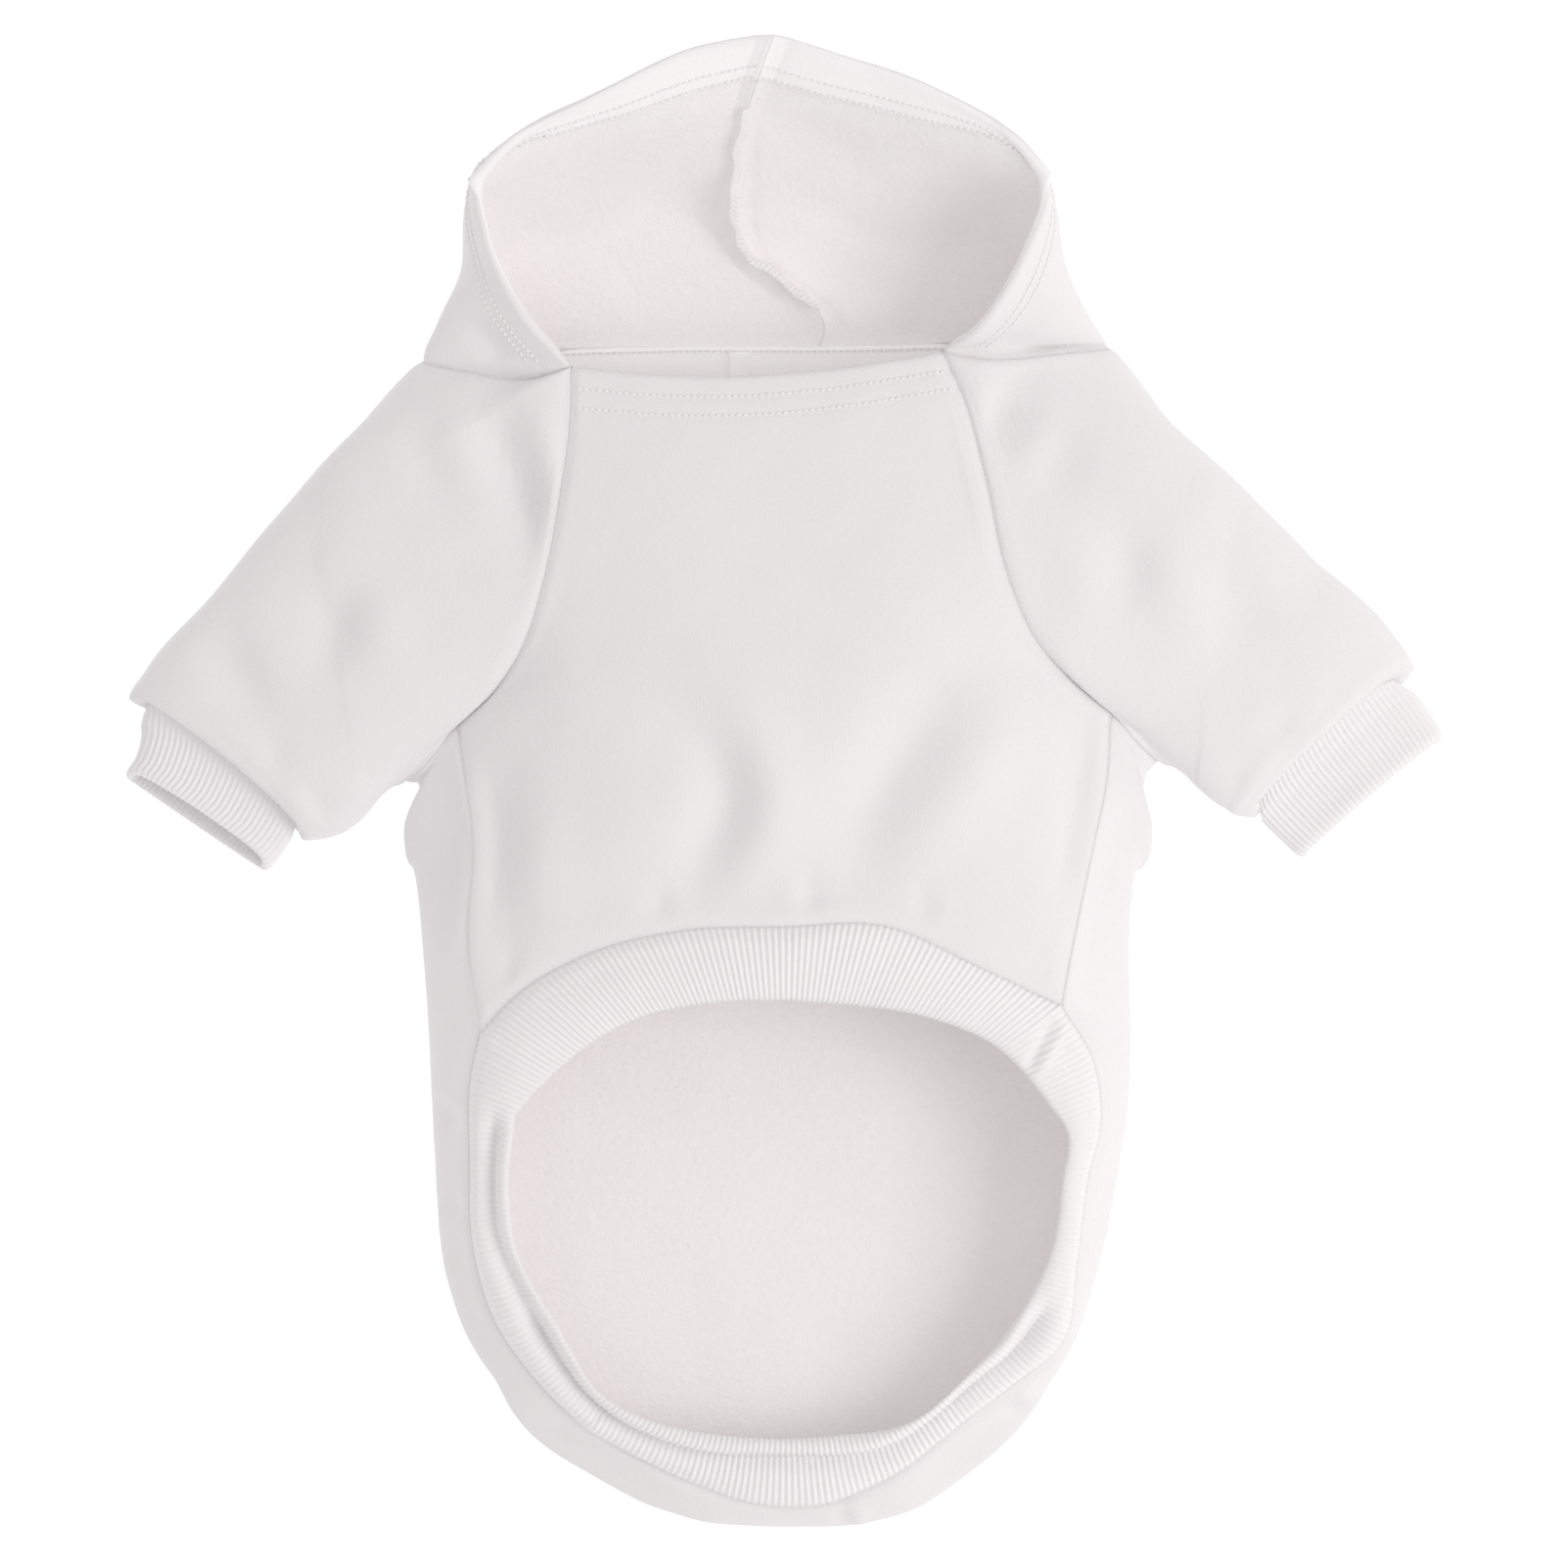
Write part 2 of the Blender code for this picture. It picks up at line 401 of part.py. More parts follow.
def back_grid():
    """Outer face of the back panel, which lies on the floor and wraps up round both sides."""
    edges = {}
    for side in ("left", "right"):
        edges[side] = joined(
            body_seam("raglan_back_" + side, RAGLAN_STEPS),
            body_seam("side_" + side, SIDE_STEPS),
            body_seam("hem_" + side, HEM_SIDE_STEPS),
        )
    counts = (RAGLAN_STEPS, SIDE_STEPS, HEM_SIDE_STEPS)
    marks = joined(*[np.linspace(i, i + 1, n + 1)[:, None] for i, n in enumerate(counts)])[:, 0]
    across = np.linspace(0, 1, WIDTH_STEPS + 1)
    nape = joined(nape_half("left"), nape_half("right")[::-1])
    tail = body_seam("hem_tail", WIDTH_STEPS)
    spread = np.array(BACK_KNOTS[1:-1]) * WIDTH_STEPS
    first = through(np.arange(WIDTH_STEPS + 1), nape, spread)
    last = through(np.arange(WIDTH_STEPS + 1), tail, spread)
    inner = [first]
    for s in BACK_SECTIONS:
        inner.append([
            body_point(BodyPoint(s.side_left, s.side_down, s.side_high)),
            body_point(BodyPoint(-s.floor_out, s.floor_down, s.floor_high)),
            body_point(BodyPoint(0.0, s.mid_down, s.mid_high)),
            body_point(BodyPoint(s.floor_out, s.floor_down, s.floor_high)),
            body_point(BodyPoint(s.side_right, s.side_down, s.side_high)),
        ])
    inner.append(last)
    knots = [0.0] + [s.edge for s in BACK_SECTIONS] + [3.0]
    inner = through(knots, inner, marks)
    rows = []
    for i in range(len(marks)):
        section = np.concatenate([[edges["left"][i]], inner[i], [edges["right"][i]]])
        rows.append(through(BACK_KNOTS, section, across))
    grid = np.array(rows)
    grid[0] = nape
    grid[-1] = tail
    grid[..., 2] = np.maximum(grid[..., 2], 0)
    return grid


def nape_half(side):
    """Half of the nape seam, from its end to the hood's centre seam."""
    return body_seam("nape_" + side, WIDTH_STEPS // 2)


def sleeve_loop(side):
    """Closed root of a sleeve: underarm, front raglan, neck, back raglan; the last point is left out."""
    loop = joined(
        body_seam("raglan_front_" + side, RAGLAN_STEPS)[::-1],
        body_seam("neck_side_" + side, NECK_SIDE_STEPS),
        body_seam("raglan_back_" + side, RAGLAN_STEPS),
    )
    return loop[:-1]


def ring_points(ring, side, count):
    """A flattened ring of a sleeve or a cuff, point for point as the sleeve's root loop runs."""
    sign = -1 if side == "left" else 1
    start = body_point(BODY_SEAMS["neck_side_" + side][3])
    upper = np.array([start[0] + sign * ring.upper_out * SLEEVE_REACH,
                      start[1] - ring.upper_down * SLEEVE_DROP])
    lower = np.array([start[0] + sign * ring.lower_out * SLEEVE_REACH,
                      start[1] - ring.lower_down * SLEEVE_DROP])
    lean = np.array([lower[1] - upper[1], upper[0] - lower[0]]) * (1 if side == "left" else -1)
    upper_index = RAGLAN_STEPS + NECK_SIDE_STEPS // 2
    top_steps = upper_index + 1
    points = []
    for i in range(count):
        on_top = i <= upper_index or i == count - 1
        turn = (i + 1) % count / top_steps if on_top else (count - 1 - i) / (count - 1 - upper_index)
        swell = np.sin(np.pi * min(turn, 1.0)) ** TOP_FLATNESS if 0 < turn < 1 else 0.0
        share = 0.5 - 0.5 * np.cos(np.pi * turn)
        place = lower + (upper - lower) * share
        high = ring.edge + (ring.top - ring.edge) * swell if on_top else \
            ring.edge + (RING_FLOOR - ring.edge) * swell
        place = place - lean * swell * (ring.bow if on_top else ring.under)
        points.append((place[0], place[1], high * SLEEVE_HEIGHT))
    return np.array(points)


def sleeve_grid(side, rings):
    """Outer face of a sleeve, from its root to the cuff seam."""
    root = sleeve_loop(side)
    sections = [root] + [ring_points(ring, side, len(root)) for ring in rings]
    marks = [0.0] + [ring.along for ring in rings]
    places = np.linspace(0, 1, SLEEVE_STEPS + 1)
    grid = through(marks, sections, places)
    grid[..., 2] = np.maximum(grid[..., 2], 0)
    return grid


def cuff_grid(side, rings, sleeve):
    """Outer face of a cuff, from the sleeve's last ring to its free edge."""
    root = sleeve[-1]
    sections = [root] + [ring_points(ring, side, len(root)) for ring in rings]
    grid = through([0.0] + [ring.along for ring in rings], sections,
                   np.linspace(0, 1, CUFF_STEPS + 1))
    grid[..., 2] = np.maximum(grid[..., 2], 0)
    return grid


def hem_loop():
    """The band's seam all round the hem, from the left hem corner over the belly."""
    loop = joined(
        body_seam("hem_belly", WIDTH_STEPS),
        body_seam("hem_right", HEM_SIDE_STEPS),
        body_seam("hem_tail", WIDTH_STEPS)[::-1],
        body_seam("hem_left", HEM_SIDE_STEPS)[::-1],
    )
    return loop[:-1]


def band_grid():
    """Outer face of the rib band, from the hem seam to its free edge."""
    seam = hem_loop()
    edge = [body_point(p) for p in MOUTH]
    fine = along(edge + edge[:1], 400)[:-1]
    centre = fine[:, :2].mean(axis=0)
    fine_turn = np.arctan2(*(fine[:, :2] - centre).T)
    order = np.argsort(fine_turn)
    seam_turn = np.arctan2(*(seam[:, :2] - centre).T)
    mouth = np.stack([
        np.interp(seam_turn, fine_turn[order], fine[order, axis], period=2 * np.pi)
        for axis in range(3)
    ], axis=1)
    down = np.linspace(0, 1, BAND_STEPS + 1)[:, None, None]
    grid = seam[None] * (1 - down) + mouth[None] * down
    grid[..., 2] += 0.05 * BODY_HEIGHT * np.sin(np.pi * down[..., 0])
    return grid


def hood_grid(side, sections, rim_side, rim_top):
    """Outer face of half the hood: rows rise from the neck, columns run from the rim to the centre."""
    base = joined(body_seam("neck_side_" + side, NECK_SIDE_STEPS), nape_half(side))
    columns = len(base)
    rim = along([base[0]] + [hood_point(*p) for p in rim_side], HOOD_RISE_STEPS)
    centre = along([base[-1]] + [hood_point(*p) for p in CENTRE_SEAM], HOOD_RISE_STEPS)
    top = along([hood_point(*p) for p in rim_top], columns - 1)
    spread = np.array(HOOD_KNOTS[1:-1]) * (columns - 1)
    inner = [through(np.arange(columns), base, spread)]
    for s in sections:
        inner.append([
            hood_point(s.side_out, s.side_up, s.side_high),
            hood_point(s.floor_out, s.floor_up, s.floor_high),
            hood_point(s.mid_out, s.mid_up, s.mid_high),
        ])
    inner.append(through(np.arange(columns), top, spread))
    inner = through([0.0] + [s.rise for s in sections] + [1.0], inner,
                    np.linspace(0, 1, HOOD_RISE_STEPS + 1))
    across = np.linspace(0, 1, columns)
    grid = np.array([
        through(HOOD_KNOTS, np.concatenate([[rim[i]], inner[i], [centre[i]]]), across)
        for i in range(HOOD_RISE_STEPS + 1)
    ])
    grid[0] = base
    grid[-1] = top
    grid[..., 2] = np.maximum(grid[..., 2], 0)
    return grid


class Panel:
    """One cloth panel: a grid of outer points, closed round or open, with its wall and free edges."""

    def __init__(self, name, grid, wall, inward, looped=False, free=()):
        self.name = name
        self.grid = folded(grid, name, inward, looped)
        self.wall = np.full(grid.shape[:2], wall)
        self.looped = looped
        self.free = free
        self.inward = grid_normals(self.grid, looped) * inward

    def borders(self):
        """Each sewn border as its index pairs and the index step that leads into the panel."""
        rows, columns = self.grid.shape[:2]
        found = []
        if "top" not in self.free:
            found.append(([(0, c) for c in range(columns)], (1, 0)))
        if "bottom" not in self.free:
            found.append(([(rows - 1, c) for c in range(columns)], (-1, 0)))
        if not self.looped and "left" not in self.free:
            found.append(([(r, 0) for r in range(rows)], (0, 1)))
        if not self.looped and "right" not in self.free:
            found.append(([(r, columns - 1) for r in range(rows)], (0, -1)))
        return found

    def thicken_near(self, curve, reach, factor):
        """Double the wall within reach of a folded edge."""
        gap = np.linalg.norm(self.grid[:, :, None] - curve[None, None], axis=3).min(axis=2)
        self.wall = np.where(gap < reach, self.wall * factor, self.wall)

    def open_seams(self, shared):
        """Lean the walls of each sewn border as its neighbour's lean, and draw the border back."""
        moved = self.grid.copy()
        for indices, (down, across) in self.borders():
            for r, c in indices:
                normal = np.sum(shared[key_of(self.grid[r, c])], axis=0)
                normal = normal / np.linalg.norm(normal)
                self.inward[r, c] = normal
                sideways = np.cross(self.tangent(r, c, down != 0), normal)
                sideways /= np.linalg.norm(sideways)
                into = self.grid[self.inside(r + down, c + across)] - self.grid[r, c]
                moved[r, c] += sideways * np.sign(sideways.dot(into)) * SEAM_GAP / 2
        moved[..., 2] = np.maximum(moved[..., 2], 0)
        self.grid = moved

    def ease_walls(self, rounds):
        """Even out the wall's direction inside the borders, so that tight folds keep a clean inside."""
        for _ in range(rounds):
            lean = self.inward.copy()
            if self.looped:
                beside = np.roll(lean, 1, axis=1) + np.roll(lean, -1, axis=1)
                lean[1:-1] += 0.25 * (lean[2:] + lean[:-2] + beside[1:-1])
            else:
                lean[1:-1, 1:-1] += 0.25 * (lean[2:, 1:-1] + lean[:-2, 1:-1]
                                            + lean[1:-1, 2:] + lean[1:-1, :-2])
            self.inward = lean / np.linalg.norm(lean, axis=2, keepdims=True)

    def inside(self, r, c):
        """The grid point nearest to an index that lies on no border."""
        rows, columns = self.grid.shape[:2]
        if self.looped:
            return min(max(r, 1), rows - 2), c % columns
        return min(max(r, 1), rows - 2), min(max(c, 1), columns - 2)

    def tangent(self, r, c, along_row):
        """Unit direction of a border at one of its points."""
        rows, columns = self.grid.shape[:2]
        if along_row:
            ahead = (c + 1) % columns if self.looped else min(c + 1, columns - 1)
            behind = (c - 1) % columns if self.looped else max(c - 1, 0)
            step = self.grid[r, ahead] - self.grid[r, behind]
        else:
            step = self.grid[min(r + 1, rows - 1), c] - self.grid[max(r - 1, 0), c]
        return step / np.linalg.norm(step)

    def build(self, material):
        """The panel as a closed solid object."""
        rows, columns = self.grid.shape[:2]
        inner = self.grid + self.inward * self.wall[..., None]
        points = np.concatenate([self.grid.reshape(-1, 3), inner.reshape(-1, 3)])
        offset = rows * columns
        outer_faces = []
        last = columns if self.looped else columns - 1
        for r in range(rows - 1):
            for c in range(last):
                d = (c + 1) % columns
                outer_faces.append((r * columns + c, r * columns + d,
                                    (r + 1) * columns + d, (r + 1) * columns + c))
        faces = outer_faces + [tuple(offset + v for v in reversed(f)) for f in outer_faces]
        for a, b in border_edges(outer_faces):
            if points[a].dot(DIAGONAL_ORDER) < points[b].dot(DIAGONAL_ORDER):
                faces += [(b, a, offset + a), (b, offset + a, offset + b)]
            else:
                faces += [(b, a, offset + b), (a, offset + a, offset + b)]
        return solid(self.name, points, faces, material)


def border_edges(faces):
    """Directed edges that only one face uses."""
    edges = {(f[i], f[(i + 1) % 4]) for f in faces for i in range(4)}
    return [(a, b) for a, b in edges if (b, a) not in edges]


def key_of(point):
    """A name for a place, so that panels find the points that they share."""
    return tuple(np.round(point * 1e5).astype(int))


def solid(name, points, faces, material):
    """A closed mesh object with its normals outward."""
    mesh = bpy.data.meshes.new(name)
    mesh.from_pydata([tuple(p) for p in points], [], faces)
    mesh.materials.append(material)
    mesh.validate()
    mesh.shade_smooth()
    made = bpy.data.objects.new(name, mesh)
    bpy.context.collection.objects.link(made)
    if signed_volume(points, faces) < 0:
        mesh.flip_normals()
    mesh.set_sharp_from_angle(angle=np.radians(50))
    return made


def signed_volume(points, faces):
    """Volume inside the faces, negative if they are inside out."""
    total = 0.0
    for face in faces:
        first = points[face[0]]
        for second, third in zip(face[1:-1], face[2:], strict=True):
            total += np.dot(first, np.cross(points[second], points[third]))
    return total / 6


def bar(name, line, lift, half_width, thickness, material):
    """A flat bar along a line, lifted along each point's lift direction."""
    ahead = np.gradient(line, axis=0)
    ahead /= np.linalg.norm(ahead, axis=1, keepdims=True)
    side = np.cross(ahead, lift)
    side /= np.linalg.norm(side, axis=1, keepdims=True)
    high = np.cross(side, ahead)
    corners = [-side * half_width, side * half_width,
               side * half_width * 0.7 + high * thickness, -side * half_width * 0.7 + high * thickness]
    points = np.stack([line + corner for corner in corners], axis=1)
    count = len(line)
    faces = []
    for i in range(count - 1):
        for k in range(4):
            n = (k + 1) % 4
            faces.append((4 * i + k, 4 * i + n, 4 * i + 4 + n, 4 * i + 4 + k))
    faces.append((3, 2, 1, 0))
    faces.append(tuple(4 * (count - 1) + k for k in range(4)))
    return solid(name, points.reshape(-1, 3), faces, material)


def cloth_material(name, colour, roughness):
    """Plain cloth with its colour."""
    material = bpy.data.materials.new(name)
    material.use_nodes = True
    shader = material.node_tree.nodes["Principled BSDF"]
    shader.inputs["Base Color"].default_value = (*colour, 1.0)
    shader.inputs["Roughness"].default_value = roughness
    shader.inputs["Metallic"].default_value = 0.0
    return material


def hood_ridge(hood, material):
    """The seam allowance that stands up along the inside of the hood's centre seam."""
    centre = slice(RIDGE_START, RIDGE_END)
    lift = hood.inward[centre, -1]
    line = hood.grid[centre, -1] + lift * (hood.wall[centre, -1:] + RIDGE_CLEARANCE)
    return bar("hood_seam", line, lift, RIDGE_WIDTH / 2, RIDGE_HEIGHT, material)


def neck_strip(material):
    """The flat seam allowance inside the nape, on the back panel."""
    line = joined(nape_half("left"), nape_half("right")[::-1])
    line = line + np.array([0.0, -STRIP_WIDTH / 2, FLEECE_WALL + SEAM_GAP])
    upright = np.tile([0.0, 0.0, 1.0], (len(line), 1))
    return bar("neck_seam", line, upright, STRIP_WIDTH / 2, STRIP_THICKNESS, material)


def neck_tab(material):
    """The small stub that lies across the neck strip."""
    base = FLEECE_WALL + STRIP_THICKNESS + 2 * SEAM_GAP
    middle = np.array(body_point(BodyPoint(TAB_OUT, NAPE_CENTRE.down, 0.0)))
    middle += np.array([0.0, -STRIP_WIDTH / 2, base])
    reach = np.linspace(TAB_LENGTH / 2, -TAB_LENGTH / 2, 4)[:, None] * np.array([0.0, 1.0, 0.0])
    upright = np.tile([0.0, 0.0, 1.0], (4, 1))
    return bar("neck_tab", middle + reach, upright, TAB_WIDTH / 2, TAB_THICKNESS, material)


def build_panels():
    """All cloth panels, with their seams opened by the gap."""
    belly = Panel("belly_panel", belly_grid(), FLEECE_WALL, -1, free=("top",))
    belly.thicken_near(belly.grid[0], FOLDED_HEM / 2, HEM_FACTOR)
    panels = [belly, Panel("back_panel", back_grid(), FLEECE_WALL, 1)]
    rings = {"left": (SLEEVE_LEFT, CUFF_LEFT), "right": (SLEEVE_RIGHT, CUFF_RIGHT)}
    for side, (sleeve_rings, cuff_rings) in rings.items():
        facing = 1 if side == "left" else -1
        sleeve = sleeve_grid(side, sleeve_rings)
        cuff = cuff_grid(side, cuff_rings, sleeve)
        panels.append(Panel("sleeve_" + side, sleeve, FLEECE_WALL, facing, looped=True))
        panels.append(Panel("cuff_" + side, cuff, RIB_WALL, facing, looped=True, free=("bottom",)))
    panels.append(Panel("hem_band", band_grid(), RIB_WALL, -1, looped=True, free=("bottom",)))
    halves = {"left": (HOOD_LEFT, RIM_SIDE_LEFT, RIM_TOP_LEFT),
              "right": (HOOD_RIGHT, RIM_SIDE_RIGHT, RIM_TOP_RIGHT)}
    for side, (sections, rim_side, rim_top) in halves.items():
        grid = hood_grid(side, sections, rim_side, rim_top)
        half = Panel("hood_" + side, grid, FLEECE_WALL, -1 if side == "left" else 1,
                     free=("left", "bottom"))
        half.thicken_near(joined(grid[:, 0], grid[-1]), FOLDED_HEM / 2, HEM_FACTOR)
        panels.append(half)
    return panels


def clear_scene():
    """Remove what the scene holds."""
    for old in list(bpy.data.objects):
        bpy.data.objects.remove(old, do_unlink=True)


def main():
    """Build every piece of the hoodie."""
    clear_scene()
    fleece = cloth_material("white_fleece", (0.86, 0.84, 0.85), 0.95)
    rib = cloth_material("white_rib", (0.88, 0.87, 0.88), 0.9)
    panels = build_panels()
    shared = {}
    for panel in panels:
        seen = set()
        for indices, _ in panel.borders():
            for r, c in indices:
                if (r, c) not in seen:
                    seen.add((r, c))
                    shared.setdefault(key_of(panel.grid[r, c]), []).append(panel.inward[r, c].copy())
    for panel in panels:
        panel.open_seams(shared)
        panel.ease_walls(WALL_EASING)
        panel.build(rib if panel.name.startswith(("cuff", "hem")) else fleece)
    hood_ridge(next(p for p in panels if p.name == "hood_left"), fleece)
    neck_strip(fleece)
    neck_tab(fleece)


main()
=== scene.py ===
"""A white fleece dog hoodie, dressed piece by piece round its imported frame.

It lies on its back with the belly side up, as it is photographed from straight above. Every cloth
panel is drawn again between the frame's own seams on a far finer grid, and gets its folds, its
sewn-in seams, its rolled edges and its knit.
"""

import logging
import math
from dataclasses import dataclass, field, replace
from enum import Enum
from typing import NamedTuple, TypeVar

import bpy
import numpy as np
from mathutils.kdtree import KDTree
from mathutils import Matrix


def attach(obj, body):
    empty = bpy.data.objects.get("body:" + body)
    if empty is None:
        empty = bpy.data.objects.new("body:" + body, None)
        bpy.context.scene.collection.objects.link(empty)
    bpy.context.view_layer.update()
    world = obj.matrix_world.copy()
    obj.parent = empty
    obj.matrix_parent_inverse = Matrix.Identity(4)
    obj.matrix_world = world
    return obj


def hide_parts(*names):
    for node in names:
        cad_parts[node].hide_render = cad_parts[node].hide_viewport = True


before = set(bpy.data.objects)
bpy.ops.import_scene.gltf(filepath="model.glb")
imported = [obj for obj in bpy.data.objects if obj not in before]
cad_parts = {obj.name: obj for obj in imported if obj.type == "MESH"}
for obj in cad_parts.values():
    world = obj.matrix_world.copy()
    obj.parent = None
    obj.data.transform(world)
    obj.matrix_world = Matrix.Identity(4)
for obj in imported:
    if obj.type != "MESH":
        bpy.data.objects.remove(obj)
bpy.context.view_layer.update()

Array = np.ndarray
Row = TypeVar("Row")

# Driving sizes, in metres
BODY_LENGTH = 0.368
BODY_WIDTH = 0.220
BODY_HEIGHT = 0.060
HOOD_LENGTH = 0.102
HOOD_WIDTH = 0.186
HOOD_HEIGHT = 0.058
SLEEVE_REACH = 0.093
SLEEVE_DROP = 0.161
SLEEVE_HEIGHT = 0.034
NECK_Y = 0.1316
FLEECE_WALL = 0.0022
RIB_WALL = 0.0028
SEAM_GAP = 0.0003
RIDGE_WIDTH = 0.0032
RIDGE_HEIGHT = 0.0034
STRIP_WIDTH = 0.012
STRIP_THICKNESS = 0.003
TAB_WIDTH = 0.007
TAB_LENGTH = 0.008
TAB_THICKNESS = 0.0025
PHOTO_WIDTH = 0.4966
PHOTO_CENTRE_Y = -0.0014

# Steps between grid points along each kind of seam
FINE = 8
RAGLAN_STEPS = 12 * FINE
SIDE_STEPS = 7 * FINE
HEM_SIDE_STEPS = 9 * FINE
WIDTH_STEPS = 20 * FINE
NECK_SIDE_STEPS = 10 * FINE
HOOD_RISE_STEPS = 100
SLEEVE_STEPS = 80
CUFF_STEPS = 22
BAND_STEPS = 18
COLUMNS_PER_SEAM_STEP = 4
COLUMNS_PER_SLEEVE_STEP = 3


class BodyPoint(NamedTuple):
    """A place in shares of the body's half width, its length below the neck and its height."""

    out: float
    down: float
    high: float


class HoodPoint(NamedTuple):
    """A place in shares of the hood's half width, its rise above the neck and its height."""

    out: float
    up: float
    high: float


class BackSection(NamedTuple):
    """A line over the back panel, at a count of seams from the nape."""

    edge: float
    side_left: float
    side_right: float
    side_down: float
    side_high: float
    floor_out: float
    floor_down: float
    floor_high: float
    mid_down: float
    mid_high: float


class HoodSection(NamedTuple):
    """A line over half the hood, at a share of its rise."""

    rise: float
    side_out: float
    side_up: float
    side_high: float
    floor_out: float
    floor_up: float
    floor_high: float
    mid_out: float
    mid_up: float
    mid_high: float


class SleeveRing(NamedTuple):
    """A flattened ring of a sleeve or cuff, in shares of the sleeve's reach, drop and height."""

    along: float
    upper_out: float
    upper_down: float
    lower_out: float
    lower_down: float
    top: float
    edge: float
    bow: float
    under: float


class Fold(NamedTuple):
    """A fold in the cloth: its path, and its depth and width as shares of the body's height and width.

    A negative depth is a valley. The lip is the share of the depth that swells the other way on the
    path's left, or on its right where it is negative.
    """

    path: tuple[tuple[float, float], ...]
    depth: float
    width: float
    lip: float


def drawn(kind: type[Row], *rows: tuple[float, ...]) -> list[Row]:
    """Rows of shares as points, sections or rings of one kind."""
    return [kind(*row) for row in rows]


class Side(Enum):
    """The two sides as the photograph shows them."""

    LEFT = "left"
    RIGHT = "right"

    @property
    def sign(self) -> int:
        """Which way along X the side lies."""
        return -1 if self is Side.LEFT else 1


NECK_LEFT = BodyPoint(-0.611, 0.005, 0.57)
NECK_RIGHT = BodyPoint(0.454, -0.008, 0.57)
UNDERARM_LEFT = BodyPoint(-0.938, 0.313, 0.48)
UNDERARM_RIGHT = BodyPoint(0.941, 0.303, 0.48)
HEM_LEFT = BodyPoint(-0.870, 0.573, 0.80)
HEM_RIGHT = BodyPoint(0.794, 0.549, 0.82)
TAIL_LEFT = BodyPoint(-0.566, 0.918, 0.40)
TAIL_RIGHT = BodyPoint(0.532, 0.907, 0.40)
NAPE_LEFT = BodyPoint(-0.680, -0.012, 0.00)
NAPE_RIGHT = BodyPoint(0.490, -0.018, 0.00)
NAPE_CENTRE = BodyPoint(0.100, -0.015, 0.00)

BODY_SEAMS = {
    "neck_front": drawn(
        BodyPoint, NECK_LEFT, (-0.355, 0.012, 0.62), (-0.144, 0.013, 0.63), (0.138, 0.007, 0.62),
        NECK_RIGHT,
    ),
    "raglan_front_left": drawn(
        BodyPoint, NECK_LEFT, (-0.614, 0.051, 0.62), (-0.639, 0.110, 0.68), (-0.690, 0.190, 0.70),
        (-0.761, 0.253, 0.64), (-0.834, 0.285, 0.57), UNDERARM_LEFT,
    ),
    "raglan_front_right": drawn(
        BodyPoint, NECK_RIGHT, (0.510, 0.029, 0.62), (0.572, 0.097, 0.68), (0.645, 0.190, 0.70),
        (0.730, 0.244, 0.65), (0.820, 0.273, 0.57), UNDERARM_RIGHT,
    ),
    "side_left": drawn(
        BodyPoint, UNDERARM_LEFT, (-0.915, 0.362, 0.55), (-0.890, 0.413, 0.62), (-0.904, 0.497, 0.72),
        HEM_LEFT,
    ),
    "side_right": drawn(
        BodyPoint, UNDERARM_RIGHT, (0.927, 0.354, 0.57), (0.885, 0.413, 0.63), (0.837, 0.480, 0.72),
        HEM_RIGHT,
    ),
    "hem_belly": drawn(
        BodyPoint, HEM_LEFT, (-0.777, 0.543, 0.83), (-0.566, 0.505, 0.90), (-0.285, 0.484, 0.95),
        (-0.003, 0.481, 0.97), (0.279, 0.480, 0.95), (0.561, 0.516, 0.90), HEM_RIGHT,
    ),
    "hem_left": drawn(
        BodyPoint, HEM_LEFT, (-0.899, 0.611, 0.77), (-0.904, 0.682, 0.68), (-0.899, 0.750, 0.60),
        (-0.834, 0.821, 0.52), (-0.707, 0.876, 0.45), TAIL_LEFT,
    ),
    "hem_right": drawn(
        BodyPoint, HEM_RIGHT, (0.885, 0.594, 0.77), (0.913, 0.649, 0.70), (0.876, 0.699, 0.65),
        (0.848, 0.767, 0.58), (0.800, 0.842, 0.50), (0.659, 0.878, 0.45), TAIL_RIGHT,
    ),
    "hem_tail": drawn(
        BodyPoint, TAIL_LEFT, (-0.285, 0.960, 0.33), (-0.080, 0.981, 0.30), (0.100, 0.982, 0.30),
        (0.293, 0.960, 0.33), TAIL_RIGHT,
    ),
    "raglan_back_left": drawn(
        BodyPoint, NAPE_LEFT, (-0.715, 0.067, 0.00), (-0.795, 0.177, 0.00), (-0.900, 0.275, 0.00),
        (-1.030, 0.338, 0.04), (-1.090, 0.362, 0.20), (-1.040, 0.350, 0.38), UNDERARM_LEFT,
    ),
    "raglan_back_right": drawn(
        BodyPoint, NAPE_RIGHT, (0.565, 0.067, 0.00), (0.695, 0.177, 0.00), (0.842, 0.261, 0.00),
        (1.000, 0.318, 0.04), (1.075, 0.345, 0.20), (1.035, 0.334, 0.38), UNDERARM_RIGHT,
    ),
    "neck_side_left": drawn(
        BodyPoint, NECK_LEFT, (-0.735, 0.015, 0.52), (-0.900, 0.008, 0.42), (-1.042, -0.003, 0.25),
        (-1.000, -0.007, 0.09), (-0.860, -0.011, 0.01), NAPE_LEFT,
    ),
    "neck_side_right": drawn(
        BodyPoint, NECK_RIGHT, (0.589, -0.003, 0.52), (0.785, -0.009, 0.42), (0.937, -0.015, 0.25),
        (0.897, -0.018, 0.09), (0.750, -0.019, 0.01), NAPE_RIGHT,
    ),
    "nape_left": drawn(BodyPoint, NAPE_LEFT, (-0.290, -0.015, 0.00), NAPE_CENTRE),
    "nape_right": drawn(BodyPoint, NAPE_RIGHT, (0.295, -0.016, 0.00), NAPE_CENTRE),
}

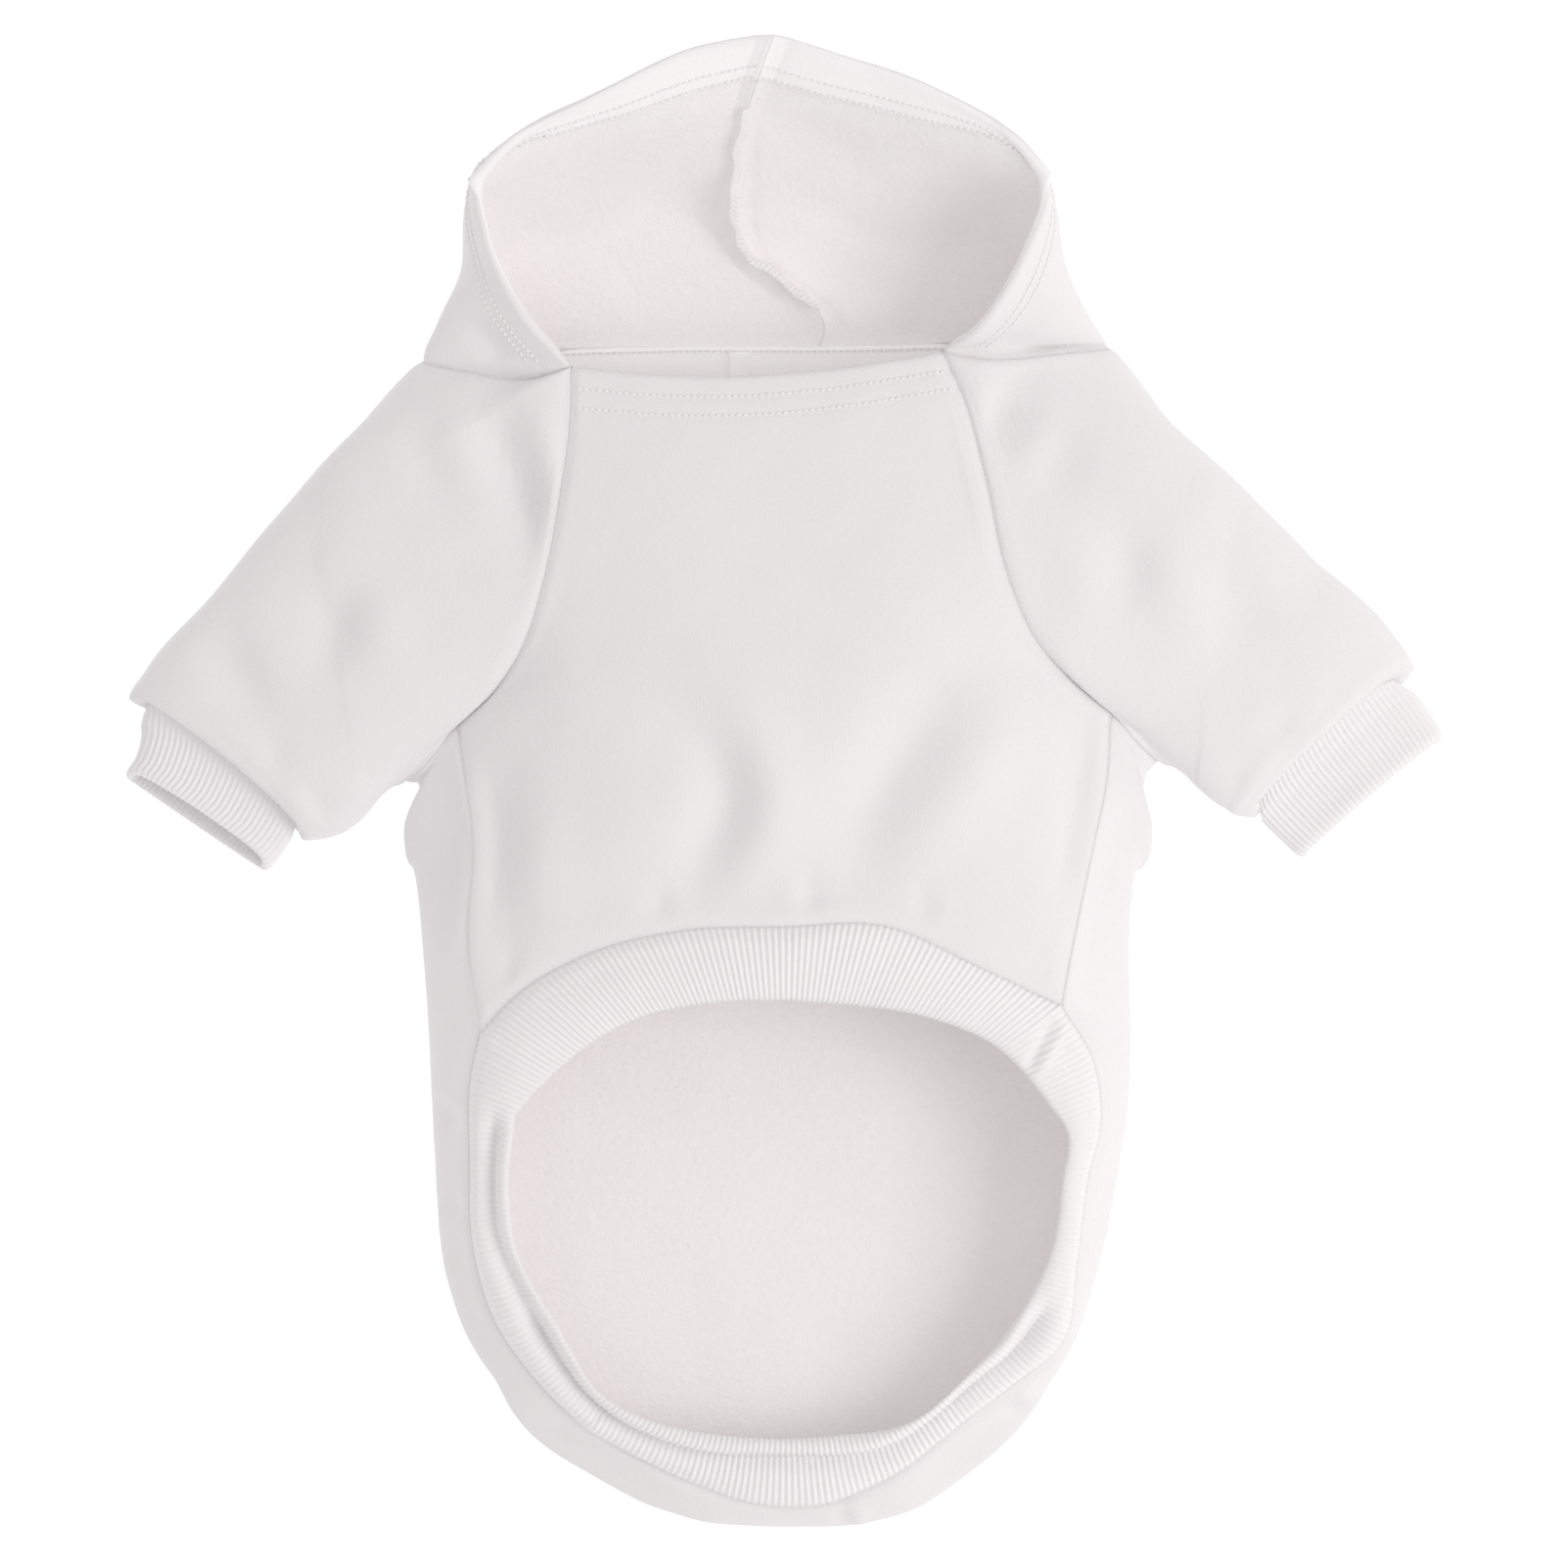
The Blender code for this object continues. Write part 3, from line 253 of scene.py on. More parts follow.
# Height of the middle of the belly from the neck to the hem, and how square its sides are
BELLY_MIDDLE = (0.63, 0.80, 0.92, 0.97, 0.97)
BELLY_ROUNDING = 2.6

# Free edge of the rib band, anticlockwise as seen from above, starting above the left hem corner
MOUTH = drawn(
    BodyPoint, (-0.763, 0.644, 0.83), (-0.679, 0.615, 0.88), (-0.454, 0.566, 0.97), (-0.144, 0.546, 1.00),
    (0.138, 0.548, 1.00), (0.392, 0.559, 0.98), (0.603, 0.586, 0.93), (0.744, 0.632, 0.87),
    (0.805, 0.660, 0.83), (0.789, 0.699, 0.77), (0.758, 0.758, 0.70), (0.687, 0.805, 0.63),
    (0.532, 0.864, 0.57), (0.363, 0.906, 0.52), (0.138, 0.919, 0.50), (-0.144, 0.919, 0.50),
    (-0.369, 0.906, 0.52), (-0.510, 0.886, 0.55), (-0.651, 0.821, 0.63), (-0.763, 0.758, 0.72),
    (-0.783, 0.699, 0.78),
)

# Sections of the back panel, from one edge over the side and the floor to the other edge. Edge
# counts seams from the nape: 0 to 1 along the raglan, 1 to 2 along the side, 2 to 3 along the hem.
BACK_SECTIONS = drawn(
    BackSection,
    (0.35, -0.60, 0.50, 0.125, 0.00, 0.38, 0.130, 0.00, 0.135, 0.00),
    (0.65, -0.78, 0.72, 0.245, 0.00, 0.50, 0.255, 0.00, 0.260, 0.00),
    (0.80, -0.93, 0.91, 0.335, 0.00, 0.70, 0.350, 0.00, 0.345, 0.00),
    (0.90, -1.035, 1.01, 0.378, 0.08, 0.82, 0.390, 0.00, 0.390, 0.00),
    (1.00, -1.085, 1.055, 0.402, 0.26, 0.88, 0.420, 0.00, 0.430, 0.00),
    (1.50, -1.055, 1.004, 0.445, 0.25, 0.88, 0.455, 0.00, 0.490, 0.00),
    (2.00, -1.012, 0.992, 0.575, 0.27, 0.86, 0.580, 0.00, 0.600, 0.00),
    (2.35, -1.00, 0.970, 0.675, 0.27, 0.83, 0.700, 0.00, 0.730, 0.00),
    (2.60, -0.965, 0.890, 0.790, 0.24, 0.74, 0.830, 0.00, 0.860, 0.00),
    (2.82, -0.838, 0.768, 0.868, 0.21, 0.50, 0.945, 0.02, 0.970, 0.00),
    (2.94, -0.680, 0.603, 0.919, 0.20, 0.36, 0.985, 0.13, 1.000, 0.11),
)
BACK_KNOTS = (0.0, 0.12, 0.26, 0.5, 0.74, 0.88, 1.0)

CORNER_LEFT = HoodPoint(-1.063, 0.549, 1.00)
CORNER_RIGHT = HoodPoint(0.903, 0.564, 1.00)
CROWN = HoodPoint(-0.037, 1.000, 0.93)
RIM_SIDE_LEFT = drawn(
    HoodPoint, (-0.837, 0.076, 0.73), (-0.930, 0.183, 0.85), (-0.993, 0.311, 0.93), (-1.037, 0.442, 0.98),
    CORNER_LEFT,
)
RIM_SIDE_RIGHT = drawn(
    HoodPoint, (0.630, 0.076, 0.73), (0.730, 0.177, 0.85), (0.830, 0.320, 0.93), (0.897, 0.473, 0.98),
    CORNER_RIGHT,
)
RIM_TOP_LEFT = drawn(
    HoodPoint, CORNER_LEFT, (-0.930, 0.678, 1.00), (-0.664, 0.811, 0.98), (-0.337, 0.948, 0.95), CROWN,
)
RIM_TOP_RIGHT = drawn(
    HoodPoint, CORNER_RIGHT, (0.797, 0.686, 1.00), (0.497, 0.845, 0.96), (0.163, 0.945, 0.93), CROWN,
)
CENTRE_SEAM = drawn(
    HoodPoint, (0.137, 0.110, 0.02), (0.095, 0.190, 0.04), (0.000, 0.255, 0.06), (-0.115, 0.335, 0.07),
    (-0.163, 0.450, 0.14), (-0.155, 0.610, 0.34), (-0.130, 0.777, 0.64), (-0.080, 0.905, 0.85), CROWN,
)

# Sections of each hood half between its rim and the centre seam
HOOD_LEFT = drawn(
    HoodSection,
    (0.25, -1.163, 0.146, 0.34, -0.937, 0.137, 0.00, -0.403, 0.137, 0.00),
    (0.50, -1.087, 0.305, 0.50, -0.937, 0.330, 0.09, -0.470, 0.350, 0.00),
    (0.75, -1.077, 0.473, 0.68, -0.860, 0.534, 0.42, -0.470, 0.564, 0.26),
    (0.90, -1.050, 0.570, 0.88, -0.790, 0.690, 0.86, -0.403, 0.793, 0.80),
)
HOOD_RIGHT = drawn(
    HoodSection,
    (0.25, 1.023, 0.152, 0.34, 0.797, 0.165, 0.00, 0.430, 0.190, 0.00),
    (0.50, 0.950, 0.305, 0.50, 0.780, 0.330, 0.09, 0.397, 0.350, 0.00),
    (0.75, 0.927, 0.473, 0.68, 0.690, 0.534, 0.42, 0.330, 0.549, 0.26),
    (0.90, 0.892, 0.580, 0.88, 0.670, 0.690, 0.86, 0.297, 0.777, 0.80),
)
HOOD_KNOTS = (0.0, 0.27, 0.42, 0.7, 1.0)

# Rings of each sleeve and cuff
SLEEVE_LEFT = drawn(
    SleeveRing,
    (0.25, 0.224, 0.142, 0.125, 0.850, 1.12, 0.40, 0.00, 0.00),
    (0.50, 0.441, 0.280, 0.201, 0.902, 1.05, 0.42, 0.00, 0.00),
    (0.75, 0.692, 0.449, 0.285, 0.935, 0.98, 0.42, 0.00, 0.00),
    (0.92, 0.930, 0.615, 0.365, 0.943, 0.92, 0.42, 0.04, 0.02),
    (0.975, 0.985, 0.665, 0.402, 0.940, 0.82, 0.42, 0.07, 0.03),
    (1.00, 0.945, 0.687, 0.425, 0.915, 0.66, 0.40, 0.10, 0.04),
)
SLEEVE_RIGHT = drawn(
    SleeveRing,
    (0.25, 0.207, 0.150, 0.235, 0.835, 1.12, 0.40, 0.00, 0.00),
    (0.50, 0.458, 0.280, 0.298, 0.871, 1.05, 0.42, 0.00, 0.00),
    (0.75, 0.709, 0.422, 0.380, 0.908, 0.98, 0.42, 0.00, 0.00),
    (0.92, 0.955, 0.566, 0.450, 0.926, 0.92, 0.42, 0.04, 0.02),
    (0.975, 1.022, 0.635, 0.492, 0.926, 0.82, 0.42, 0.07, 0.03),
    (1.00, 0.993, 0.665, 0.510, 0.905, 0.66, 0.40, 0.10, 0.04),
)
CUFF_LEFT = drawn(
    SleeveRing,
    (0.35, 0.942, 0.735, 0.448, 0.940, 0.60, 0.36, 0.09, 0.04),
    (0.70, 0.962, 0.785, 0.490, 0.975, 0.62, 0.36, 0.07, 0.03),
    (1.00, 1.003, 0.818, 0.535, 1.002, 0.68, 0.38, 0.10, -0.01),
)
CUFF_RIGHT = drawn(
    SleeveRing,
    (0.35, 1.035, 0.695, 0.532, 0.940, 0.60, 0.36, 0.09, 0.04),
    (0.70, 1.085, 0.735, 0.590, 0.978, 0.62, 0.36, 0.07, 0.03),
    (1.00, 1.127, 0.775, 0.650, 1.010, 0.68, 0.38, 0.04, 0.02),
)
TOP_FLATNESS = 0.6
RING_FLOOR = 0.02

# The folds and dents that the photograph shows
FOLDS = {
    "belly_panel": [
        Fold(((-0.36, 0.31), (-0.24, 0.325), (-0.17, 0.36), (-0.16, 0.38), (-0.24, 0.42), (-0.29, 0.475)),
             -0.090, 0.042, 0.5),
        Fold(((0.55, 0.24), (0.43, 0.295), (0.30, 0.355), (0.22, 0.39), (0.18, 0.46)), -0.105, 0.055, 0.5),
        Fold(((-0.80, 0.32), (-0.83, 0.40), (-0.81, 0.47), (-0.78, 0.53)), -0.055, 0.041, 0.4),
        Fold(((-0.75, 0.23), (-0.55, 0.30), (-0.48, 0.38)), 0.030, 0.064, 0.0),
        Fold(((0.78, 0.27), (0.86, 0.33), (0.84, 0.42), (0.80, 0.50)), -0.050, 0.036, 0.4),
        Fold(((-0.05, 0.10), (0.02, 0.20), (0.00, 0.28)), -0.027, 0.136, 0.0),
        Fold(((-0.37, 0.445), (-0.34, 0.49)), -0.023, 0.018, 0.4),
        Fold(((0.07, 0.43), (0.08, 0.485)), -0.025, 0.018, -0.4),
        Fold(((0.39, 0.44), (0.40, 0.49)), -0.017, 0.018, 0.4),
        Fold(((-0.79, 0.49), (-0.78, 0.54)), -0.020, 0.018, 0.0),
    ],
    "sleeve_left": [
        Fold(((-0.89, 0.03), (-0.79, 0.085), (-0.745, 0.115), (-0.71, 0.165)), -0.125, 0.038, 0.5),
        Fold(((-1.06, 0.03), (-1.02, 0.09), (-0.91, 0.135)), -0.050, 0.036, 0.3),
        Fold(((-1.30, 0.19), (-1.285, 0.225), (-1.285, 0.265)), -0.086, 0.041, 0.4),
        Fold(((-1.36, 0.11), (-1.31, 0.16)), -0.023, 0.036, 0.3),
        Fold(((-1.65, 0.22), (-1.58, 0.27), (-1.45, 0.31)), -0.060, 0.041, 0.4),
        Fold(((-0.95, 0.20), (-1.05, 0.27), (-1.15, 0.34)), 0.027, 0.073, 0.0),
        Fold(((-1.42, 0.36), (-1.48, 0.32)), -0.023, 0.023, 0.4),
        Fold(((-1.28, 0.40), (-1.36, 0.36)), -0.020, 0.023, 0.4),
    ],
    "sleeve_right": [
        Fold(((0.70, 0.005), (0.62, 0.06), (0.60, 0.09)), -0.090, 0.036, -0.5),
        Fold(((0.84, 0.045), (0.785, 0.09), (0.77, 0.12)), -0.050, 0.036, -0.3),
        Fold(((0.955, 0.14), (0.985, 0.185), (0.985, 0.225)), -0.085, 0.041, -0.4),
        Fold(((0.72, 0.20), (0.80, 0.25), (0.95, 0.31)), 0.030, 0.064, 0.0),
        Fold(((1.20, 0.16), (1.28, 0.21), (1.42, 0.25)), -0.045, 0.045, 0.3),
        Fold(((1.37, 0.33), (1.47, 0.30)), -0.027, 0.023, 0.4),
        Fold(((1.25, 0.37), (1.33, 0.35)), -0.023, 0.027, 0.4),
    ],
    "hood_left": [
        Fold(((-0.92, -0.04), (-0.84, -0.01), (-0.76, 0.012)), -0.030, 0.020, 0.3),
        Fold(((-0.62, -0.17), (-0.45, -0.15), (-0.30, -0.08)), -0.040, 0.070, 0.0),
        Fold(((-0.24, -0.19), (-0.26, -0.13), (-0.22, -0.08), (-0.10, -0.045), (0.0, -0.02)), -0.110, 0.075,
             0.0),
    ],
    "hood_right": [
        Fold(((0.10, -0.16), (0.30, -0.13), (0.50, -0.06)), 0.045, 0.080, 0.0),
        Fold(((0.78, -0.06), (0.66, -0.02), (0.55, 0.00)), -0.025, 0.022, 0.3),
    ],
    "hem_band": [
        Fold(((-0.82, 0.63), (-0.845, 0.70), (-0.825, 0.75), (-0.735, 0.81), (-0.67, 0.845)), -0.065, 0.014,
             0.5),
        Fold(((-0.735, 0.81), (-0.67, 0.845), (-0.565, 0.89), (-0.40, 0.925), (-0.14, 0.943), (0.14, 0.943),
             (0.36, 0.926), (0.56, 0.876), (0.67, 0.85), (0.77, 0.80)), -0.100, 0.014, 0.5),
        Fold(((0.79, 0.552), (0.70, 0.60), (0.67, 0.61)), -0.030, 0.009, 0.6),
    ],
    "back_panel": [
        Fold(((-1.03, 0.636), (-0.97, 0.645), (-0.91, 0.655)), -0.040, 0.016, 0.5),
        Fold(((-1.01, 0.725), (-0.95, 0.724), (-0.90, 0.718)), -0.035, 0.014, -0.5),
        Fold(((0.96, 0.731), (0.92, 0.728), (0.88, 0.724)), -0.035, 0.014, 0.5),
        Fold(((0.60, 0.880), (0.66, 0.897), (0.72, 0.905)), -0.035, 0.014, 0.5),
        Fold(((0.15, 0.965), (0.165, 0.985), (0.17, 1.00)), -0.040, 0.014, 0.6),
        Fold(((-0.88, 0.37), (-0.89, 0.45), (-0.90, 0.52)), -0.030, 0.030, 0.3),
        Fold(((0.98, 0.36), (0.93, 0.42), (0.90, 0.48)), -0.035, 0.026, 0.3),
    ],
}

# The slight wave all over the cloth: its height and the distances between its crests, in metres
SLACK = 0.0007
WAVE_COUNT = 14
WAVE_LENGTH = 0.062
FINE_WAVE_LENGTH = 0.020
FINE_WAVE_SHARE = 0.22
FIRST_WAVE_SEED = 3
WAVE_SEED_STEP = 10
CALM_REACH = 0.010

# How a fold fades at its ends, where its lip stands, and how steep the cloth may be to show it
END_FADE = 4.0
LIP_PLACE = 1.7
FOLD_STEEPNESS = 0.3

# The seams: how near neighbours meet, and the swell beside each seam as shares of its depth and width
MEETING_REACH = 0.0009
SEAM_SWELL = 0.3
SEAM_SWELL_PLACE = 2.6
FLAT_LIFT = -1e-5
SIDE_SEAM_REACH = 0.012
SIDE_SEAM_SOFTNESS = 0.85
SIDE_SEAM_STEP = 0.004

# The cloth's inner face, its turned-in facing and its rolled edges
EASING_SHARE = 0.25
EASING_ROUNDS = 40
BELLY_EASING_ROUNDS = 160
FACING_WIDTH = 0.0150
FACING_LIFT = 0.0009
FACING_STEP = 0.0012
INNER_FLOOR = 0.9
ROLL_REACH = 0.9

# The ribs: their height and pitch, and how they fade at the seam and at the free edge
RIB_RELIEF = 0.00034
RIB_PITCH = 0.00192
RIB_SEAM_FADE = 0.0018
RIB_EDGE_FADE = 0.0022
RIB_EDGE_SHARE = 0.35

# The stitches: how they pull the cloth in and how far they stand off it
STITCH_PULL = 0.0003
STITCH_PULL_WIDTH = 0.0013
STITCH_LIFT = 0.0002
THREAD_LIFT = 0.0001

# The ridge in the hood: its rows, and where and by how much it sinks towards the crown
RIDGE_ROWS = slice(HOOD_RISE_STEPS // 10, HOOD_RISE_STEPS * 8 // 10)
RIDGE_SINKS_AT = 0.52
RIDGE_SINKS_OVER = 0.16
RIDGE_SINK = 0.75
RIDGE_WOBBLE = 0.0006
OVERLOCK_SHARE = 0.6
OVERLOCK_TURN = 1.25

# The neck's tab and the strip's stitches, as shares of the body's half width and the strip's width
TAB_OUT = -0.128
TAB_STEPS = 8
TAPE_ROW_OUT = 0.36

# Bars: steps along, points round, how square they are, and how their ends close
BAR_STEPS = 96
BAR_SIDES = 16
BAR_SQUARENESS = 0.6
BAR_END_POWER = 24
BAR_END_LEAST = 0.02
WOBBLE_LENGTH = 0.010
WOBBLE_SEED = 5

# The finishes: how coarse the drift in tone is, and the shares of clumps, wales and courses
DRIFT_SCALE = 34.0
CLUMP_SHARE = 0.65
WALE_SHARE = 0.30
COURSE_SHARE = 0.20

# Points that a smooth curve is drawn with before it is cut
CURVE_STEPS = 160
MOUTH_STEPS = 800
PATH_STEPS = 8


def through(knots: Array, values: Array, places: Array, bounded: bool = True) -> Array:
    """Smooth curve through values at their knots, read at the given places.

    Args:
        knots: Where the values stand, rising.
        values: One row per knot.
        places: Where the curve is read.
        bounded: Whether the curve keeps within its values between two knots.

    Returns:
        One row per place.
    """
    knots = np.asarray(knots, float)
    values = np.asarray(values, float)
    slopes = np.gradient(values, knots, axis=0)
    if bounded:
        spans = np.diff(knots).reshape((-1,) + (1,) * (values.ndim - 1))
        chords = np.diff(values, axis=0) / spans
        limit = 3 * np.minimum(np.abs(chords[1:]), np.abs(chords[:-1]))
        limit = np.where(chords[1:] * chords[:-1] > 0, limit, 0)
        slopes[1:-1] = np.clip(slopes[1:-1], -limit, limit)
    spans = np.clip(np.searchsorted(knots, places, side="right") - 1, 0, len(knots) - 2)
    width = knots[spans + 1] - knots[spans]
    t = ((places - knots[spans]) / width).reshape((-1,) + (1,) * (values.ndim - 1))
    width = width.reshape(t.shape)
    rest = 1 - t
    return (
        values[spans] * (1 + 2 * t) * rest**2
        + slopes[spans] * width * t * rest**2
        + values[spans + 1] * (3 - 2 * t) * t**2
        - slopes[spans + 1] * width * t**2 * rest
    )


def along(points: list, steps: int) -> Array:
    """The smooth curve through points, cut into steps of equal length.

    Args:
        points: The places that the curve runs through.
        steps: How many steps it is cut into.

    Returns:
        One row more than there are steps.
    """
    points = np.asarray(points, float)
    reach = np.concatenate([[0], np.cumsum(np.linalg.norm(np.diff(points, axis=0), axis=1))])
    fine = through(reach, points, np.linspace(0, reach[-1], CURVE_STEPS * len(points)), bounded=False)
    run = np.concatenate([[0], np.cumsum(np.linalg.norm(np.diff(fine, axis=0), axis=1))])
    wanted = np.linspace(0, run[-1], steps + 1)
    curve = np.stack([np.interp(wanted, run, fine[:, axis]) for axis in range(3)], axis=1)
    curve[:, 2] = np.maximum(curve[:, 2], 0)
    return curve


def joined(*parts: Array) -> Array:
    """Curves laid end to end, with each shared end point kept once."""
    return np.concatenate([parts[0]] + [part[1:] for part in parts[1:]])


def blend_patch(left: Array, right: Array, top: Array, bottom: Array) -> Array:
    """Surface between four edges: rows run from top to bottom, columns from left to right."""
    down = np.linspace(0, 1, len(left))[:, None, None]
    across = np.linspace(0, 1, len(top))[None, :, None]
    sides = (1 - across) * left[:, None] + across * right[:, None]
    ends = (1 - down) * top[None] + down * bottom[None]
    corners = (
        (1 - down) * ((1 - across) * top[0] + across * top[-1])
        + down * ((1 - across) * bottom[0] + across * bottom[-1])
    )
    return sides + ends - corners


def finer(grid: Array, times: int) -> Array:
    """A closed grid with more columns, drawn smoothly between its own.

    Args:
        grid: Rows of closed rings.
        times: New columns for each old one.

    Returns:
        The finer grid.
    """
    count = grid.shape[1]
    closed = np.concatenate([grid[:, -2:], grid, grid[:, :3]], axis=1).transpose(1, 0, 2)
    places = np.arange(count * times) / times + 2
    return through(np.arange(count + 5), closed, places, bounded=False).transpose(1, 0, 2)


def ease(amount: Array) -> Array:
    """A smooth step from 0 to 1."""
    t = np.clip(amount, 0, 1)
    return t * t * (3 - 2 * t)


def waves(points: Array, length: float, seed: int) -> Array:
    """An even, wandering wave between about -1 and 1 over any points.

    Args:
        points: Places in metres, with the axis last.
        length: Typical distance between two crests, in metres.
        seed: Picks the wave.

    Returns:
        One height per point.
    """
    rng = np.random.default_rng(seed)
    total = np.zeros(points.shape[:-1])
    for _ in range(WAVE_COUNT):
        heading = rng.normal(size=3)
        heading *= 2 * math.pi / (length * rng.uniform(0.7, 1.6) * np.linalg.norm(heading))
        total += np.sin(points @ heading + rng.uniform(0, 2 * math.pi))
    return total / math.sqrt(WAVE_COUNT)


def swell_along(places: Array, path: Array, reach: float) -> Array:
    """A soft swell of height 1 along a path, which fades out at both ends.

    Args:
        places: Points in X and Y.
        path: The path's points in X and Y.
        reach: How far the swell spreads to each side.

    Returns:
        The swell's height at each place.
    """
    steps = np.linalg.norm(np.diff(path, axis=0), axis=1)
    run = np.cumsum(steps) - steps / 2
    fade = min(0.4 * steps.sum(), END_FADE * reach)
    weights = steps * ease(run / fade) * ease((steps.sum() - run) / fade) / (math.sqrt(math.pi) * reach)
    height = np.zeros(places.shape[:-1])
    for middle, weight in zip((path[1:] + path[:-1]) / 2, weights, strict=True):
        height += weight * np.exp(-np.sum((places - middle) ** 2, axis=-1) / reach**2)
    return height


@dataclass(frozen=True)
class Block:
    """The hoodie's driving sizes and the lines that its panels are cut along."""

    half_width: float = BODY_WIDTH / 2
    length: float = BODY_LENGTH
    height: float = BODY_HEIGHT
    hood_half_width: float = HOOD_WIDTH / 2
    hood_length: float = HOOD_LENGTH
    hood_height: float = HOOD_HEIGHT
    neck_y: float = NECK_Y

    def body(self, share: BodyPoint) -> tuple[float, float, float]:
        """World place of a point given in shares of the body."""
        return (share.out * self.half_width, self.neck_y - share.down * self.length,
                share.high * self.height)

    def hood(self, out: float, up: float, high: float) -> tuple[float, float, float]:
        """World place of a point given in shares of the hood."""
        return (out * self.hood_half_width, self.neck_y + up * self.hood_length,
                high * self.hood_height)

    def seam(self, name: str, steps: int) -> Array:
        """A body seam by its name, cut into steps."""
        return along([self.body(p) for p in BODY_SEAMS[name]], steps)

    def nape_half(self, side: Side) -> Array:
        """Half of the nape seam, from its end to the hood's centre seam."""
        return self.seam("nape_" + side.value, WIDTH_STEPS // 2)

    def drawn_path(self, places: tuple[tuple[float, float], ...], step: float) -> Array:
        """A smooth path in X and Y through places given as shares, with points a step apart."""
        knots = np.linspace(0, 1, len(places))
        path = through(knots, np.array(places), np.linspace(0, 1, PATH_STEPS * len(knots)))
        path = np.stack([path[:, 0] * self.half_width, self.neck_y - path[:, 1] * self.length], axis=1)
        run = np.concatenate([[0], np.cumsum(np.linalg.norm(np.diff(path, axis=0), axis=1))])
        count = max(PATH_STEPS, math.ceil(run[-1] / step))
        return through(run / run[-1], path, np.linspace(0, 1, count))

    def side_share(self, points: Array) -> Array:
        """How near points lie to the two side seams, from 0 to 1."""
        share = np.zeros(points.shape[:-1])
        for side in Side:
            places = tuple((point.out, point.down) for point in BODY_SEAMS["side_" + side.value])
            share += swell_along(points[..., :2], self.drawn_path(places, SIDE_SEAM_STEP), SIDE_SEAM_REACH)
        return np.clip(share, 0, 1)

    def fold_lift(self, panel: str, points: Array) -> Array:
        """Height that a panel's folds add at each of its points.

        Args:
            panel: The node that the panel stands for.
            points: The panel's points.

        Returns:
            One height per point, in metres.
        """
        lift = np.zeros(points.shape[:-1])
        for fold in FOLDS.get(panel, ()):
            reach = fold.width * 2 * self.half_width
            path = self.drawn_path(fold.path, reach / 2)
            along_path = np.gradient(path, axis=0)
            along_path /= np.linalg.norm(along_path, axis=1, keepdims=True)
            left = np.stack([-along_path[:, 1], along_path[:, 0]], axis=1) * math.copysign(1, fold.lip)
            valley = swell_along(points[..., :2], path, reach)
            lip = swell_along(points[..., :2], path + LIP_PLACE * reach * left, reach)
            lift += fold.depth * self.height * (valley - abs(fold.lip) * lip)
        return lift


